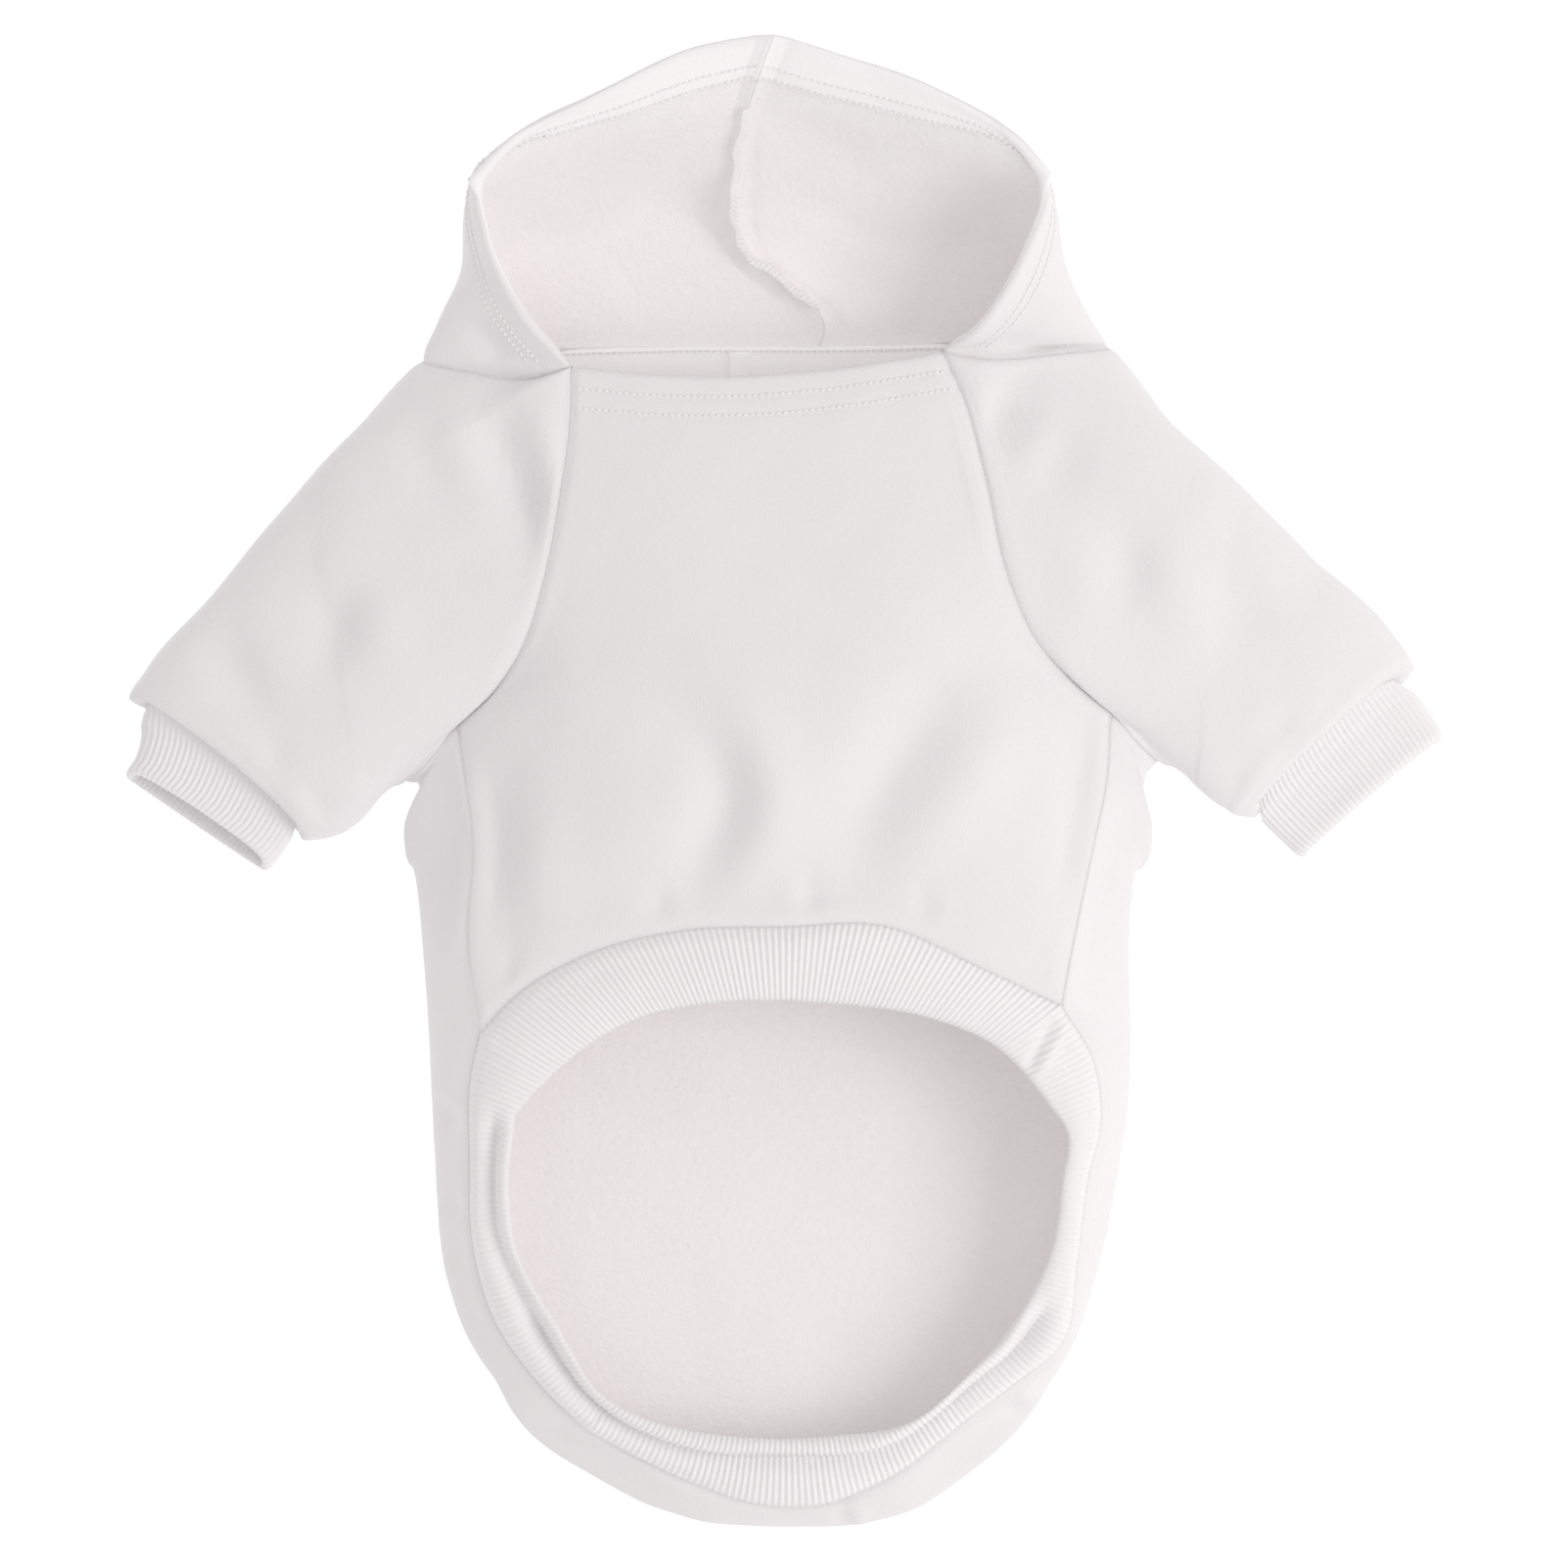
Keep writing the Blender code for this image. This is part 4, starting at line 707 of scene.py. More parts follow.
@dataclass
class Cloth:
    """One cloth panel: a grid of points on its outer face, its wall and its edges."""

    name: str
    node: str
    grid: Array
    wall: float
    facing: int
    looped: bool = False
    free: tuple[str, ...] = ()
    facing_width: float = 0.0
    seam_depth: float = 0.0012
    seam_width: float = 0.0020
    edge_share: float = 0.30
    outward: Array = field(init=False)
    base: Array = field(init=False)

    def __post_init__(self) -> None:
        """Take the outward directions from the grid."""
        self.outward = self.normals()
        self.base = self.grid.copy()

    def normals(self) -> Array:
        """Unit directions out of the cloth's outer face."""
        if self.looped:
            across = np.roll(self.grid, -1, axis=1) - np.roll(self.grid, 1, axis=1)
        else:
            across = np.gradient(self.grid, axis=1)
        down = np.gradient(self.grid, axis=0)
        normal = np.cross(down, across)
        length = np.linalg.norm(normal, axis=2, keepdims=True)
        normal = normal / np.maximum(length, 1e-12)
        if not self.looped:
            for r, beside_r in ((0, 1), (-1, -2)):
                for c, beside_c in ((0, 1), (-1, -2)):
                    normal[r, c] = normal[beside_r, beside_c]
        return normal * self.facing

    def run(self, axis: int) -> Array:
        """Distance over the cloth from the grid's first row (axis 0) or column (axis 1)."""
        steps = np.linalg.norm(np.diff(self.base, axis=axis), axis=2)
        pad = [(0, 0), (0, 0)]
        pad[axis] = (1, 0)
        return np.pad(np.cumsum(steps, axis=axis), pad)

    def gap(self, edge: str) -> Array:
        """Distance over the cloth from one of its edges."""
        axis = 0 if edge in ("top", "bottom") else 1
        run = self.run(axis)
        if edge in ("top", "left"):
            return run
        return run[-1:] - run if axis == 0 else run[:, -1:] - run

    def edges(self) -> tuple[str, ...]:
        """The names of the edges that the panel has."""
        return ("top", "bottom") if self.looped else ("top", "bottom", "left", "right")

    def border(self, edge: str) -> tuple:
        """Index of an edge's points in the grid."""
        return {"top": (0, slice(None)), "bottom": (-1, slice(None)),
                "left": (slice(None), 0), "right": (slice(None), -1)}[edge]

    def sewn(self) -> list[str]:
        """The names of the edges that are sewn to a neighbour."""
        return [edge for edge in self.edges() if edge not in self.free]

    def calm(self, reach: float) -> Array:
        """1 in the panel and 0 on its sewn edges, so that neighbours still meet."""
        amount = np.ones(self.grid.shape[:2])
        for edge in self.sewn():
            amount *= ease(self.gap(edge) / reach)
        return amount

    def meet(self, tree: KDTree, directions: Array) -> None:
        """Turn the outward directions on each seam to the neighbours' common one.

        Args:
            tree: Every panel's seam points.
            directions: The outward direction of each point in the tree.
        """
        for edge in self.sewn():
            index = self.border(edge)
            own = self.outward[index]
            shared = own.copy()
            for i, place in enumerate(self.base[index]):
                found = [directions[k] for _, k, _ in tree.find_range(place, MEETING_REACH)]
                if found:
                    shared[i] = np.sum(found, axis=0)
            shared /= np.maximum(np.linalg.norm(shared, axis=1, keepdims=True), 1e-9)
            near = np.exp(-((self.gap(edge) / (2.5 * self.seam_width)) ** 2))[..., None]
            spread = shared[None] if edge in ("top", "bottom") else shared[:, None]
            self.outward = self.outward * (1 - near) + spread * near
            self.outward[index] = shared
        self.outward /= np.maximum(np.linalg.norm(self.outward, axis=2, keepdims=True), 1e-9)

    def sink_seams(self, block: Block) -> None:
        """Draw the cloth in along its seams, less so at the sides, with a soft swell beside each."""
        lift = np.zeros(self.grid.shape[:2])
        for edge in self.sewn():
            gap = self.gap(edge)
            valley = -self.seam_depth * np.exp(-((gap / self.seam_width) ** 2))
            lift = np.minimum(lift, valley)
            beside = gap / self.seam_width - SEAM_SWELL_PLACE
            swell = SEAM_SWELL * self.seam_depth * np.exp(-(beside**2))
            lift = np.where(lift > FLAT_LIFT, np.maximum(lift, swell), lift)
        self.raise_by(lift * (1 - SIDE_SEAM_SOFTNESS * block.side_share(self.base)))

    def raise_by(self, lift: Array) -> None:
        """Move the outer face out by a height at each point, and keep it above the floor."""
        self.grid = self.grid + self.outward * lift[..., None]
        self.grid[..., 2] = np.maximum(self.grid[..., 2], 0)

    def stitch_groove(self, gap: Array, at: float) -> None:
        """Pull the cloth in along a row of stitches, at a distance from an edge."""
        self.raise_by(-STITCH_PULL * np.exp(-(((gap - at) / STITCH_PULL_WIDTH) ** 2)))

    def slacken(self, block: Block, seed: int) -> None:
        """Add the folds that the photograph shows, and a slight wave all over."""
        calm = self.calm(CALM_REACH)
        lowest = -1.0 if self.node.startswith("hood") else 0.0
        seen = np.clip(self.outward[..., 2] / FOLD_STEEPNESS, lowest, 1.0)
        folds = block.fold_lift(self.node, self.base) * seen
        finer_wave = FINE_WAVE_SHARE * waves(self.base, FINE_WAVE_LENGTH, seed + 1)
        wave = waves(self.base, WAVE_LENGTH, seed) + finer_wave
        self.raise_by((folds + SLACK * wave) * calm)

    def inner_face(self) -> Array:
        """The cloth's inner face, with its directions evened out so that tight folds stay clean."""
        lean = self.outward.copy()
        for _ in range(EASING_ROUNDS):
            if self.looped:
                beside = np.roll(lean, 1, axis=1) + np.roll(lean, -1, axis=1)
                lean[1:-1] = lean[1:-1] + EASING_SHARE * (lean[2:] + lean[:-2] + beside[1:-1])
            else:
                lean[1:-1, 1:-1] = lean[1:-1, 1:-1] + EASING_SHARE * (
                    lean[2:, 1:-1] + lean[:-2, 1:-1] + lean[1:-1, 2:] + lean[1:-1, :-2])
            lean /= np.maximum(np.linalg.norm(lean, axis=2, keepdims=True), 1e-9)
        facing = ease((self.facing_width - self.free_gap()) / FACING_STEP + 0.5)
        wall = self.wall + FACING_LIFT * facing
        inner = self.grid - lean * wall[..., None]
        inner[..., 2] = np.maximum(inner[..., 2], self.wall * INNER_FLOOR)
        return inner

    def free_gap(self) -> Array:
        """Distance over the cloth from its nearest free edge."""
        gaps = [self.gap(edge) for edge in self.free]
        return np.minimum.reduce(gaps) if gaps else np.full(self.grid.shape[:2], np.inf)

    def rolled(self, outer: Array, inner: Array) -> tuple[Array, Array]:
        """Round off the free edges, where the two faces draw together."""
        pinch = np.ones(self.grid.shape[:2])
        for edge in self.free:
            t = np.clip(self.gap(edge) / (self.wall * ROLL_REACH), 0, 1)
            open_share = np.sqrt(1 - (1 - t) ** 2) * (1 - self.edge_share) + self.edge_share
            pinch = np.minimum(pinch, open_share)
        middle = (outer + inner) / 2
        half = (outer - inner) / 2 * pinch[..., None]
        return middle + half, middle - half

    def build(self, outside: bpy.types.Material, inside: bpy.types.Material,
              edging: bpy.types.Material) -> bpy.types.Object:
        """The panel as a closed mesh with a map in metres.

        Args:
            outside: Material of the outer face and the edges.
            inside: Material of the inner face.
            edging: Material of the cloth that is turned in along its free edges, a lighter copy of the
                outside with painted light.

        Returns:
            The object, at the origin.
        """
        rows, columns = self.grid.shape[:2]
        outer, inner = self.rolled(self.grid, self.inner_face())
        points = np.concatenate([outer.reshape(-1, 3), inner.reshape(-1, 3)])
        r, c = np.meshgrid(np.arange(rows - 1), np.arange(columns if self.looped else columns - 1),
                           indexing="ij")
        d = (c + 1) % columns
        quads = np.stack([r * columns + c, r * columns + d, (r + 1) * columns + d, (r + 1) * columns + c],
                         axis=-1).reshape(-1, 4)
        along_u = self.run(1).max(axis=1).mean() / max(columns - 1, 1)
        along_v = self.run(0)[-1].mean() / (rows - 1)
        across = np.stack([c, c + 1, c + 1, c], axis=-1).reshape(-1, 4) * along_u
        down = np.stack([r, r, r + 1, r + 1], axis=-1).reshape(-1, 4) * along_v
        sheet_map = np.stack([across, down], axis=-1)
        if self.facing > 0:
            quads, sheet_map = quads[:, ::-1], sheet_map[:, ::-1]
        offset = rows * columns
        back_quads = quads[:, ::-1] + offset
        rim = self.rim(quads, offset)
        faces = np.concatenate([quads, back_quads, rim])
        corner_map = np.concatenate([sheet_map, sheet_map[:, ::-1], np.zeros((len(rim), 4, 2))])
        fleecy = (self.free_gap()[r, c] > self.facing_width).ravel()
        behind = np.where(fleecy, 1, 2 if self.facing_width else 0)
        slots = np.concatenate([np.zeros(len(quads)), behind, np.zeros(len(rim))])
        finishes = [outside, inside] + ([edging] if self.facing_width else [])
        return cloth_object(self.name, points, faces, corner_map, slots.astype(int), finishes)

    @staticmethod
    def rim(quads: Array, offset: int) -> Array:
        """Quads that close the wall along every edge that only one outer face uses."""
        starts = quads.ravel()
        ends = np.roll(quads, -1, axis=1).ravel()
        used = set(zip(starts.tolist(), ends.tolist(), strict=True))
        return np.array([(b, a, a + offset, b + offset) for a, b in used if (b, a) not in used])

    def flat_size(self) -> tuple[float, float, float]:
        """Width, length and area of the cloth as it was cut."""
        width = float(self.run(1)[:, -1].max())
        length = float(self.run(0)[-1].max())
        if self.looped:
            width += width / (self.grid.shape[1] - 1)
        a = self.base[1:, 1:] - self.base[:-1, :-1]
        b = self.base[1:, :-1] - self.base[:-1, 1:]
        area = float(np.linalg.norm(np.cross(a, b), axis=2).sum() / 2)
        return width, length, min(area, width * length)


def placed(name: str, data: bpy.types.ID) -> bpy.types.Object:
    """A new object for its data, linked to the scene at the origin."""
    made = bpy.data.objects.new(name, data)
    bpy.context.collection.objects.link(made)
    return made


def cloth_object(name: str, points: Array, faces: Array, corner_map: Array, slots: Array,
                 materials: list[bpy.types.Material]) -> bpy.types.Object:
    """A mesh object from arrays.

    Args:
        name: The piece's name.
        points: One row per vertex.
        faces: Four vertices per face.
        corner_map: Map place of each corner of each face.
        slots: Material slot of each face.
        materials: The materials by slot.

    Returns:
        The object, linked to the scene.
    """
    mesh = bpy.data.meshes.new(name)
    mesh.from_pydata(points.tolist(), [], faces.tolist())
    layer = mesh.uv_layers.new(name="cloth_map")
    layer.data.foreach_set("uv", corner_map.astype(np.float32).ravel())
    for material in materials:
        mesh.materials.append(material)
    mesh.polygons.foreach_set("material_index", slots.astype(np.int32))
    mesh.shade_smooth()
    mesh.update()
    return placed(name, mesh)


@dataclass
class Body:
    """The belly panel and the back panel, which meet along the sides."""

    block: Block
    wall: float = FLEECE_WALL
    middle_knots: tuple[float, ...] = (0.0, 0.3, 0.6, 0.85, 1.0)
    hem_row: float = 0.0068
    second_hem_row: float = 0.0130

    def belly_grid(self) -> Array:
        """Outer face of the belly panel."""
        sides = [
            joined(self.block.seam("raglan_front_" + side.value, RAGLAN_STEPS),
                   self.block.seam("side_" + side.value, SIDE_STEPS))
            for side in Side
        ]
        left, right = sides
        grid = blend_patch(left, right, self.block.seam("neck_front", WIDTH_STEPS),
                           self.block.seam("hem_belly", WIDTH_STEPS))
        reach = np.linspace(0, 1, len(left))
        middle = through(self.middle_knots, BELLY_MIDDLE, reach)[:, None] * self.block.height
        columns = grid.shape[1]
        out = np.abs(np.linspace(-1, 1, columns))[None]
        edge = np.where(np.arange(columns) * 2 < columns, left[:, None, 2], right[:, None, 2])
        high = middle + (edge - middle) * out**BELLY_ROUNDING
        keep = np.minimum(1, 6 * np.minimum(reach, 1 - reach))[:, None]
        grid[..., 2] += (high - grid[..., 2]) * ease(keep)
        for _ in range(BELLY_EASING_ROUNDS):
            around = grid[2:, 1:-1] + grid[:-2, 1:-1] + grid[1:-1, 2:] + grid[1:-1, :-2]
            grid[1:-1, 1:-1] = (grid[1:-1, 1:-1] + around / 4) / 2
        return grid

    def back_grid(self) -> Array:
        """Outer face of the back panel, which lies on the floor and wraps up round both sides."""
        edges = [
            joined(self.block.seam("raglan_back_" + side.value, RAGLAN_STEPS),
                   self.block.seam("side_" + side.value, SIDE_STEPS),
                   self.block.seam("hem_" + side.value, HEM_SIDE_STEPS))
            for side in Side
        ]
        counts = (RAGLAN_STEPS, SIDE_STEPS, HEM_SIDE_STEPS)
        marks = joined(*[np.linspace(i, i + 1, n + 1)[:, None] for i, n in enumerate(counts)])[:, 0]
        across = np.linspace(0, 1, WIDTH_STEPS + 1)
        nape = joined(self.block.nape_half(Side.LEFT), self.block.nape_half(Side.RIGHT)[::-1])
        tail = self.block.seam("hem_tail", WIDTH_STEPS)
        spread = np.array(BACK_KNOTS[1:-1]) * WIDTH_STEPS
        inner = [through(np.arange(WIDTH_STEPS + 1), nape, spread)]
        for s in BACK_SECTIONS:
            places = drawn(
                BodyPoint, (s.side_left, s.side_down, s.side_high),
                (-s.floor_out, s.floor_down, s.floor_high), (0.0, s.mid_down, s.mid_high),
                (s.floor_out, s.floor_down, s.floor_high), (s.side_right, s.side_down, s.side_high),
            )
            inner.append([self.block.body(place) for place in places])
        inner.append(through(np.arange(WIDTH_STEPS + 1), tail, spread))
        knots = [0.0] + [s.edge for s in BACK_SECTIONS] + [3.0]
        inner = through(knots, inner, marks)
        grid = np.array([
            through(BACK_KNOTS, np.concatenate([[edges[0][i]], inner[i], [edges[1][i]]]), across)
            for i in range(len(marks))
        ])
        grid[0] = nape
        grid[-1] = tail
        grid[..., 2] = np.maximum(grid[..., 2], 0)
        return grid

    def cloths(self) -> list[Cloth]:
        """Both panels, before their folds."""
        return [
            Cloth("belly_cloth", "belly_panel", self.belly_grid(), self.wall, 1, free=("top",),
                  facing_width=FACING_WIDTH),
            Cloth("back_cloth", "back_panel", self.back_grid(), self.wall, -1),
        ]


@dataclass
class Sleeve:
    """One raglan sleeve and its rib cuff."""

    block: Block
    side: Side
    wall: float = FLEECE_WALL
    rib_wall: float = RIB_WALL
    flatness: float = TOP_FLATNESS

    def root(self) -> Array:
        """Closed root: underarm, front raglan, neck, back raglan; the last point is left out."""
        name = self.side.value
        loop = joined(
            self.block.seam("raglan_front_" + name, RAGLAN_STEPS)[::-1],
            self.block.seam("neck_side_" + name, NECK_SIDE_STEPS),
            self.block.seam("raglan_back_" + name, RAGLAN_STEPS),
        )
        return loop[:-1]

    def ring(self, ring: SleeveRing, count: int) -> Array:
        """A flattened ring, point for point as the root runs.

        Args:
            ring: The ring's shares.
            count: How many points it has.

        Returns:
            One row per point.
        """
        sign = self.side.sign
        start = self.block.body(BODY_SEAMS["neck_side_" + self.side.value][3])
        upper = np.array([start[0] + sign * ring.upper_out * SLEEVE_REACH,
                          start[1] - ring.upper_down * SLEEVE_DROP])
        lower = np.array([start[0] + sign * ring.lower_out * SLEEVE_REACH,
                          start[1] - ring.lower_down * SLEEVE_DROP])
        lean = np.array([lower[1] - upper[1], upper[0] - lower[0]]) * -sign
        upper_index = RAGLAN_STEPS + NECK_SIDE_STEPS // 2
        step = np.arange(count)
        shift = FINE
        top = (step <= upper_index) | (step >= count - shift)
        turn = np.where(top, (step + shift) % count / (upper_index + shift),
                        (count - shift - step) / (count - shift - upper_index))
        turn = np.clip(turn, 0, 1)
        swell = np.sin(np.pi * turn) ** self.flatness
        share = (0.5 - 0.5 * np.cos(np.pi * turn))[:, None]
        place = lower + (upper - lower) * share
        floor = np.where(top, ring.top, RING_FLOOR)
        high = ring.edge + (floor - ring.edge) * swell
        place = place - lean * (swell * np.where(top, ring.bow, ring.under))[:, None]
        return np.column_stack([place, high * SLEEVE_HEIGHT])

    def grid(self, rings: list[SleeveRing], root: Array, steps: int) -> Array:
        """Outer face between a root ring and the rings that follow it."""
        sections = [root] + [self.ring(ring, len(root)) for ring in rings]
        marks = [0.0] + [ring.along for ring in rings]
        grid = through(marks, sections, np.linspace(0, 1, steps + 1))
        grid[..., 2] = np.maximum(grid[..., 2], 0)
        return grid

    def cloths(self) -> list[Cloth]:
        """The sleeve and the cuff, before their folds."""
        name = self.side.value
        sleeve_rings, cuff_rings = ((SLEEVE_LEFT, CUFF_LEFT) if self.side is Side.LEFT
                                    else (SLEEVE_RIGHT, CUFF_RIGHT))
        sleeve = self.grid(sleeve_rings, self.root(), SLEEVE_STEPS)
        cuff = finer(self.grid(cuff_rings, sleeve[-1], CUFF_STEPS), COLUMNS_PER_SLEEVE_STEP)
        facing = self.side.sign
        return [
            Cloth(f"sleeve_{name}_cloth", f"sleeve_{name}", sleeve, self.wall, facing, looped=True),
            Cloth(f"cuff_{name}_rib", f"cuff_{name}", cuff, self.rib_wall, facing, looped=True,
                  free=("bottom",)),
        ]


@dataclass
class HemBand:
    """The rib band round the whole hem opening."""

    block: Block
    wall: float = RIB_WALL
    bulge: float = 0.05

    def loop(self) -> Array:
        """The band's seam all round the hem, from the left hem corner over the belly."""
        times = COLUMNS_PER_SEAM_STEP
        loop = joined(
            self.block.seam("hem_belly", WIDTH_STEPS * times),
            self.block.seam("hem_right", HEM_SIDE_STEPS * times),
            self.block.seam("hem_tail", WIDTH_STEPS * times)[::-1],
            self.block.seam("hem_left", HEM_SIDE_STEPS * times)[::-1],
        )
        return loop[:-1]

    def grid(self) -> Array:
        """Outer face, from the hem seam to the free edge."""
        seam = self.loop()
        edge = [self.block.body(p) for p in MOUTH]
        fine = along(edge + edge[:1], MOUTH_STEPS)[:-1]
        centre = fine[:, :2].mean(axis=0)
        fine_turn = np.arctan2(*(fine[:, :2] - centre).T)
        order = np.argsort(fine_turn)
        seam_turn = np.arctan2(*(seam[:, :2] - centre).T)
        mouth = np.stack([
            np.interp(seam_turn, fine_turn[order], fine[order, axis], period=2 * np.pi)
            for axis in range(3)
        ], axis=1)
        down = np.linspace(0, 1, BAND_STEPS + 1)[:, None, None]
        grid = seam[None] * (1 - down) + mouth[None] * down
        grid[..., 2] += self.bulge * self.block.height * np.sin(np.pi * down[..., 0])
        return grid

    def cloths(self) -> list[Cloth]:
        """The band, before its folds."""
        return [Cloth("hem_rib", "hem_band", self.grid(), self.wall, 1, looped=True, free=("bottom",))]


@dataclass
class Hood:
    """The two halves of the hood, and where the rows of stitches along their rim lie."""

    block: Block
    wall: float = FLEECE_WALL
    facing_row: float = 0.0138
    second_facing_row: float = 0.0100

    def grid(self, side: Side) -> Array:
        """Outer face of one half: rows rise from the neck, columns run from the rim to the centre."""
        left = side is Side.LEFT
        sections = HOOD_LEFT if left else HOOD_RIGHT
        rim_side = RIM_SIDE_LEFT if left else RIM_SIDE_RIGHT
        rim_top = RIM_TOP_LEFT if left else RIM_TOP_RIGHT
        base = joined(self.block.seam("neck_side_" + side.value, NECK_SIDE_STEPS),
                      self.block.nape_half(side))
        columns = len(base)
        rim = along([base[0]] + [self.block.hood(*p) for p in rim_side], HOOD_RISE_STEPS)
        centre = along([base[-1]] + [self.block.hood(*p) for p in CENTRE_SEAM], HOOD_RISE_STEPS)
        top = along([self.block.hood(*p) for p in rim_top], columns - 1)
        spread = np.array(HOOD_KNOTS[1:-1]) * (columns - 1)
        inner = [through(np.arange(columns), base, spread)]
        for s in sections:
            inner.append([
                self.block.hood(s.side_out, s.side_up, s.side_high),
                self.block.hood(s.floor_out, s.floor_up, s.floor_high),
                self.block.hood(s.mid_out, s.mid_up, s.mid_high),
            ])
        inner.append(through(np.arange(columns), top, spread))
        inner = through([0.0] + [s.rise for s in sections] + [1.0], inner,
                        np.linspace(0, 1, HOOD_RISE_STEPS + 1))
        across = np.linspace(0, 1, columns)
        grid = np.array([
            through(HOOD_KNOTS, np.concatenate([[rim[i]], inner[i], [centre[i]]]), across)
            for i in range(HOOD_RISE_STEPS + 1)
        ])
        grid[0] = base
        grid[-1] = top
        grid[..., 2] = np.maximum(grid[..., 2], 0)
        return grid

    def cloths(self) -> list[Cloth]:
        """Both halves, before their folds."""
        return [
            Cloth(f"hood_{side.value}_cloth", f"hood_{side.value}", self.grid(side), self.wall,
                  -side.sign, free=("left", "bottom"), facing_width=FACING_WIDTH)
            for side in Side
        ]


class Graph:
    """Adds nodes to one tree and joins them."""

    def __init__(self, tree: bpy.types.NodeTree) -> None:
        """Keep the tree."""
        self.tree = tree

    def add(self, kind: str, **settings: object) -> bpy.types.Node:
        """A new node with its settings."""
        node = self.tree.nodes.new(kind)
        for name, value in settings.items():
            setattr(node, name, value)
        return node

    def link(self, source: bpy.types.NodeSocket, target: bpy.types.NodeSocket) -> None:
        """Join an output to an input."""
        self.tree.links.new(source, target)

    def fill(self, socket: bpy.types.NodeSocket, value: object) -> None:
        """Set an input's value, or link it where the value is itself a socket."""
        if isinstance(value, bpy.types.NodeSocket):
            self.link(value, socket)
        else:
            socket.default_value = value

    def feed(self, node: bpy.types.Node, **inputs: object) -> bpy.types.Node:
        """Set or link a node's inputs, by name with an underscore for each space.

        Args:
            node: The node.
            inputs: A value or an output socket for each input.

        Returns:
            The node.
        """
        for name, value in inputs.items():
            self.fill(node.inputs[name.replace("_", " ")], value)
        return node

    def calc(self, operation: str, *values: object) -> bpy.types.NodeSocket:
        """The result of a math node."""
        node = self.add("ShaderNodeMath", operation=operation)
        for socket, value in zip(node.inputs, values, strict=False):
            self.fill(socket, value)
        return node.outputs[0]

    def noise(self, place: bpy.types.NodeSocket, scale: object, detail: float,
              roughness: float) -> bpy.types.NodeSocket:
        """The height of a noise texture."""
        node = self.feed(self.add("ShaderNodeTexNoise"), Vector=place, Scale=scale, Detail=detail,
                         Roughness=roughness)
        return node.outputs["Fac"]


def new_group(name: str, inputs: dict[str, float], outputs: list[str]) -> tuple[Graph, dict, dict]:
    """A shader group with named number sockets.

    Args:
        name: The group's name.
        inputs: Default value of each input.
        outputs: The outputs' names.

    Returns:
        Its graph, its inputs as outputs of the input node, and the output node's inputs.
    """
    tree = bpy.data.node_groups.new(name, "ShaderNodeTree")
    for label, value in inputs.items():
        socket = tree.interface.new_socket(label, in_out="INPUT", socket_type="NodeSocketFloat")
        socket.default_value = value
    for label in outputs:
        tree.interface.new_socket(label, in_out="OUTPUT", socket_type="NodeSocketFloat")
    entry = tree.nodes.new("NodeGroupInput")
    leave = tree.nodes.new("NodeGroupOutput")
    return Graph(tree), entry.outputs, leave.inputs


def fuzz_group() -> bpy.types.NodeTree:
    """Brushed fibres: clumps with finer hairs on them, over the object's own space."""
    graph, given, result = new_group("fuzz", {"Clumps": 420.0, "Hairs": 1900.0}, ["Height", "Tint"])
    place = graph.add("ShaderNodeTexCoord").outputs["Object"]
    clumps = graph.noise(place, given["Clumps"], detail=4.0, roughness=0.62)
    hairs = graph.noise(place, given["Hairs"], detail=3.0, roughness=0.7)
    drift = graph.noise(place, DRIFT_SCALE, detail=2.0, roughness=0.5)
    height = graph.calc("ADD", graph.calc("MULTIPLY", clumps, CLUMP_SHARE),
                        graph.calc("MULTIPLY", hairs, 1 - CLUMP_SHARE))
    graph.link(height, result["Height"])
    tint = graph.calc("ADD", graph.calc("MULTIPLY", drift, 0.5), graph.calc("MULTIPLY", clumps, 0.5))
    graph.link(tint, result["Tint"])
    return graph.tree


def knit_group() -> bpy.types.NodeTree:
    """Rows of small vee stitches, by the cloth's own map in metres, and painted shade in their valleys."""
    graph, given, result = new_group("knit", {"Wale": 0.0009, "Course": 0.0008, "Vee": 0.45},
                                     ["Height", "Painted Shade"])
    split = graph.add("ShaderNodeSeparateXYZ")
    graph.link(graph.add("ShaderNodeUVMap", uv_map="cloth_map").outputs["UV"], split.inputs[0])
    across = graph.calc("DIVIDE", split.outputs["X"], given["Wale"])
    down = graph.calc("DIVIDE", split.outputs["Y"], given["Course"])
    leaning = graph.calc("MULTIPLY", graph.calc("PINGPONG", across, 0.5), given["Vee"])
    wale = graph.calc("COSINE", graph.calc("MULTIPLY", across, 2 * math.pi))
    course = graph.calc("COSINE", graph.calc("MULTIPLY", graph.calc("ADD", down, leaning), 2 * math.pi))
    both = graph.calc("ADD", graph.calc("MULTIPLY", wale, WALE_SHARE),
                      graph.calc("MULTIPLY", course, COURSE_SHARE))
    height = graph.calc("ADD", both, 0.5)
    graph.link(height, result["Height"])
    # Painted shade: one less the knit's height, which darkens the colour in the stitches' valleys
    valley = graph.calc("SUBTRACT", 1.0, height)
    graph.link(valley, result["Painted Shade"])
    return graph.tree


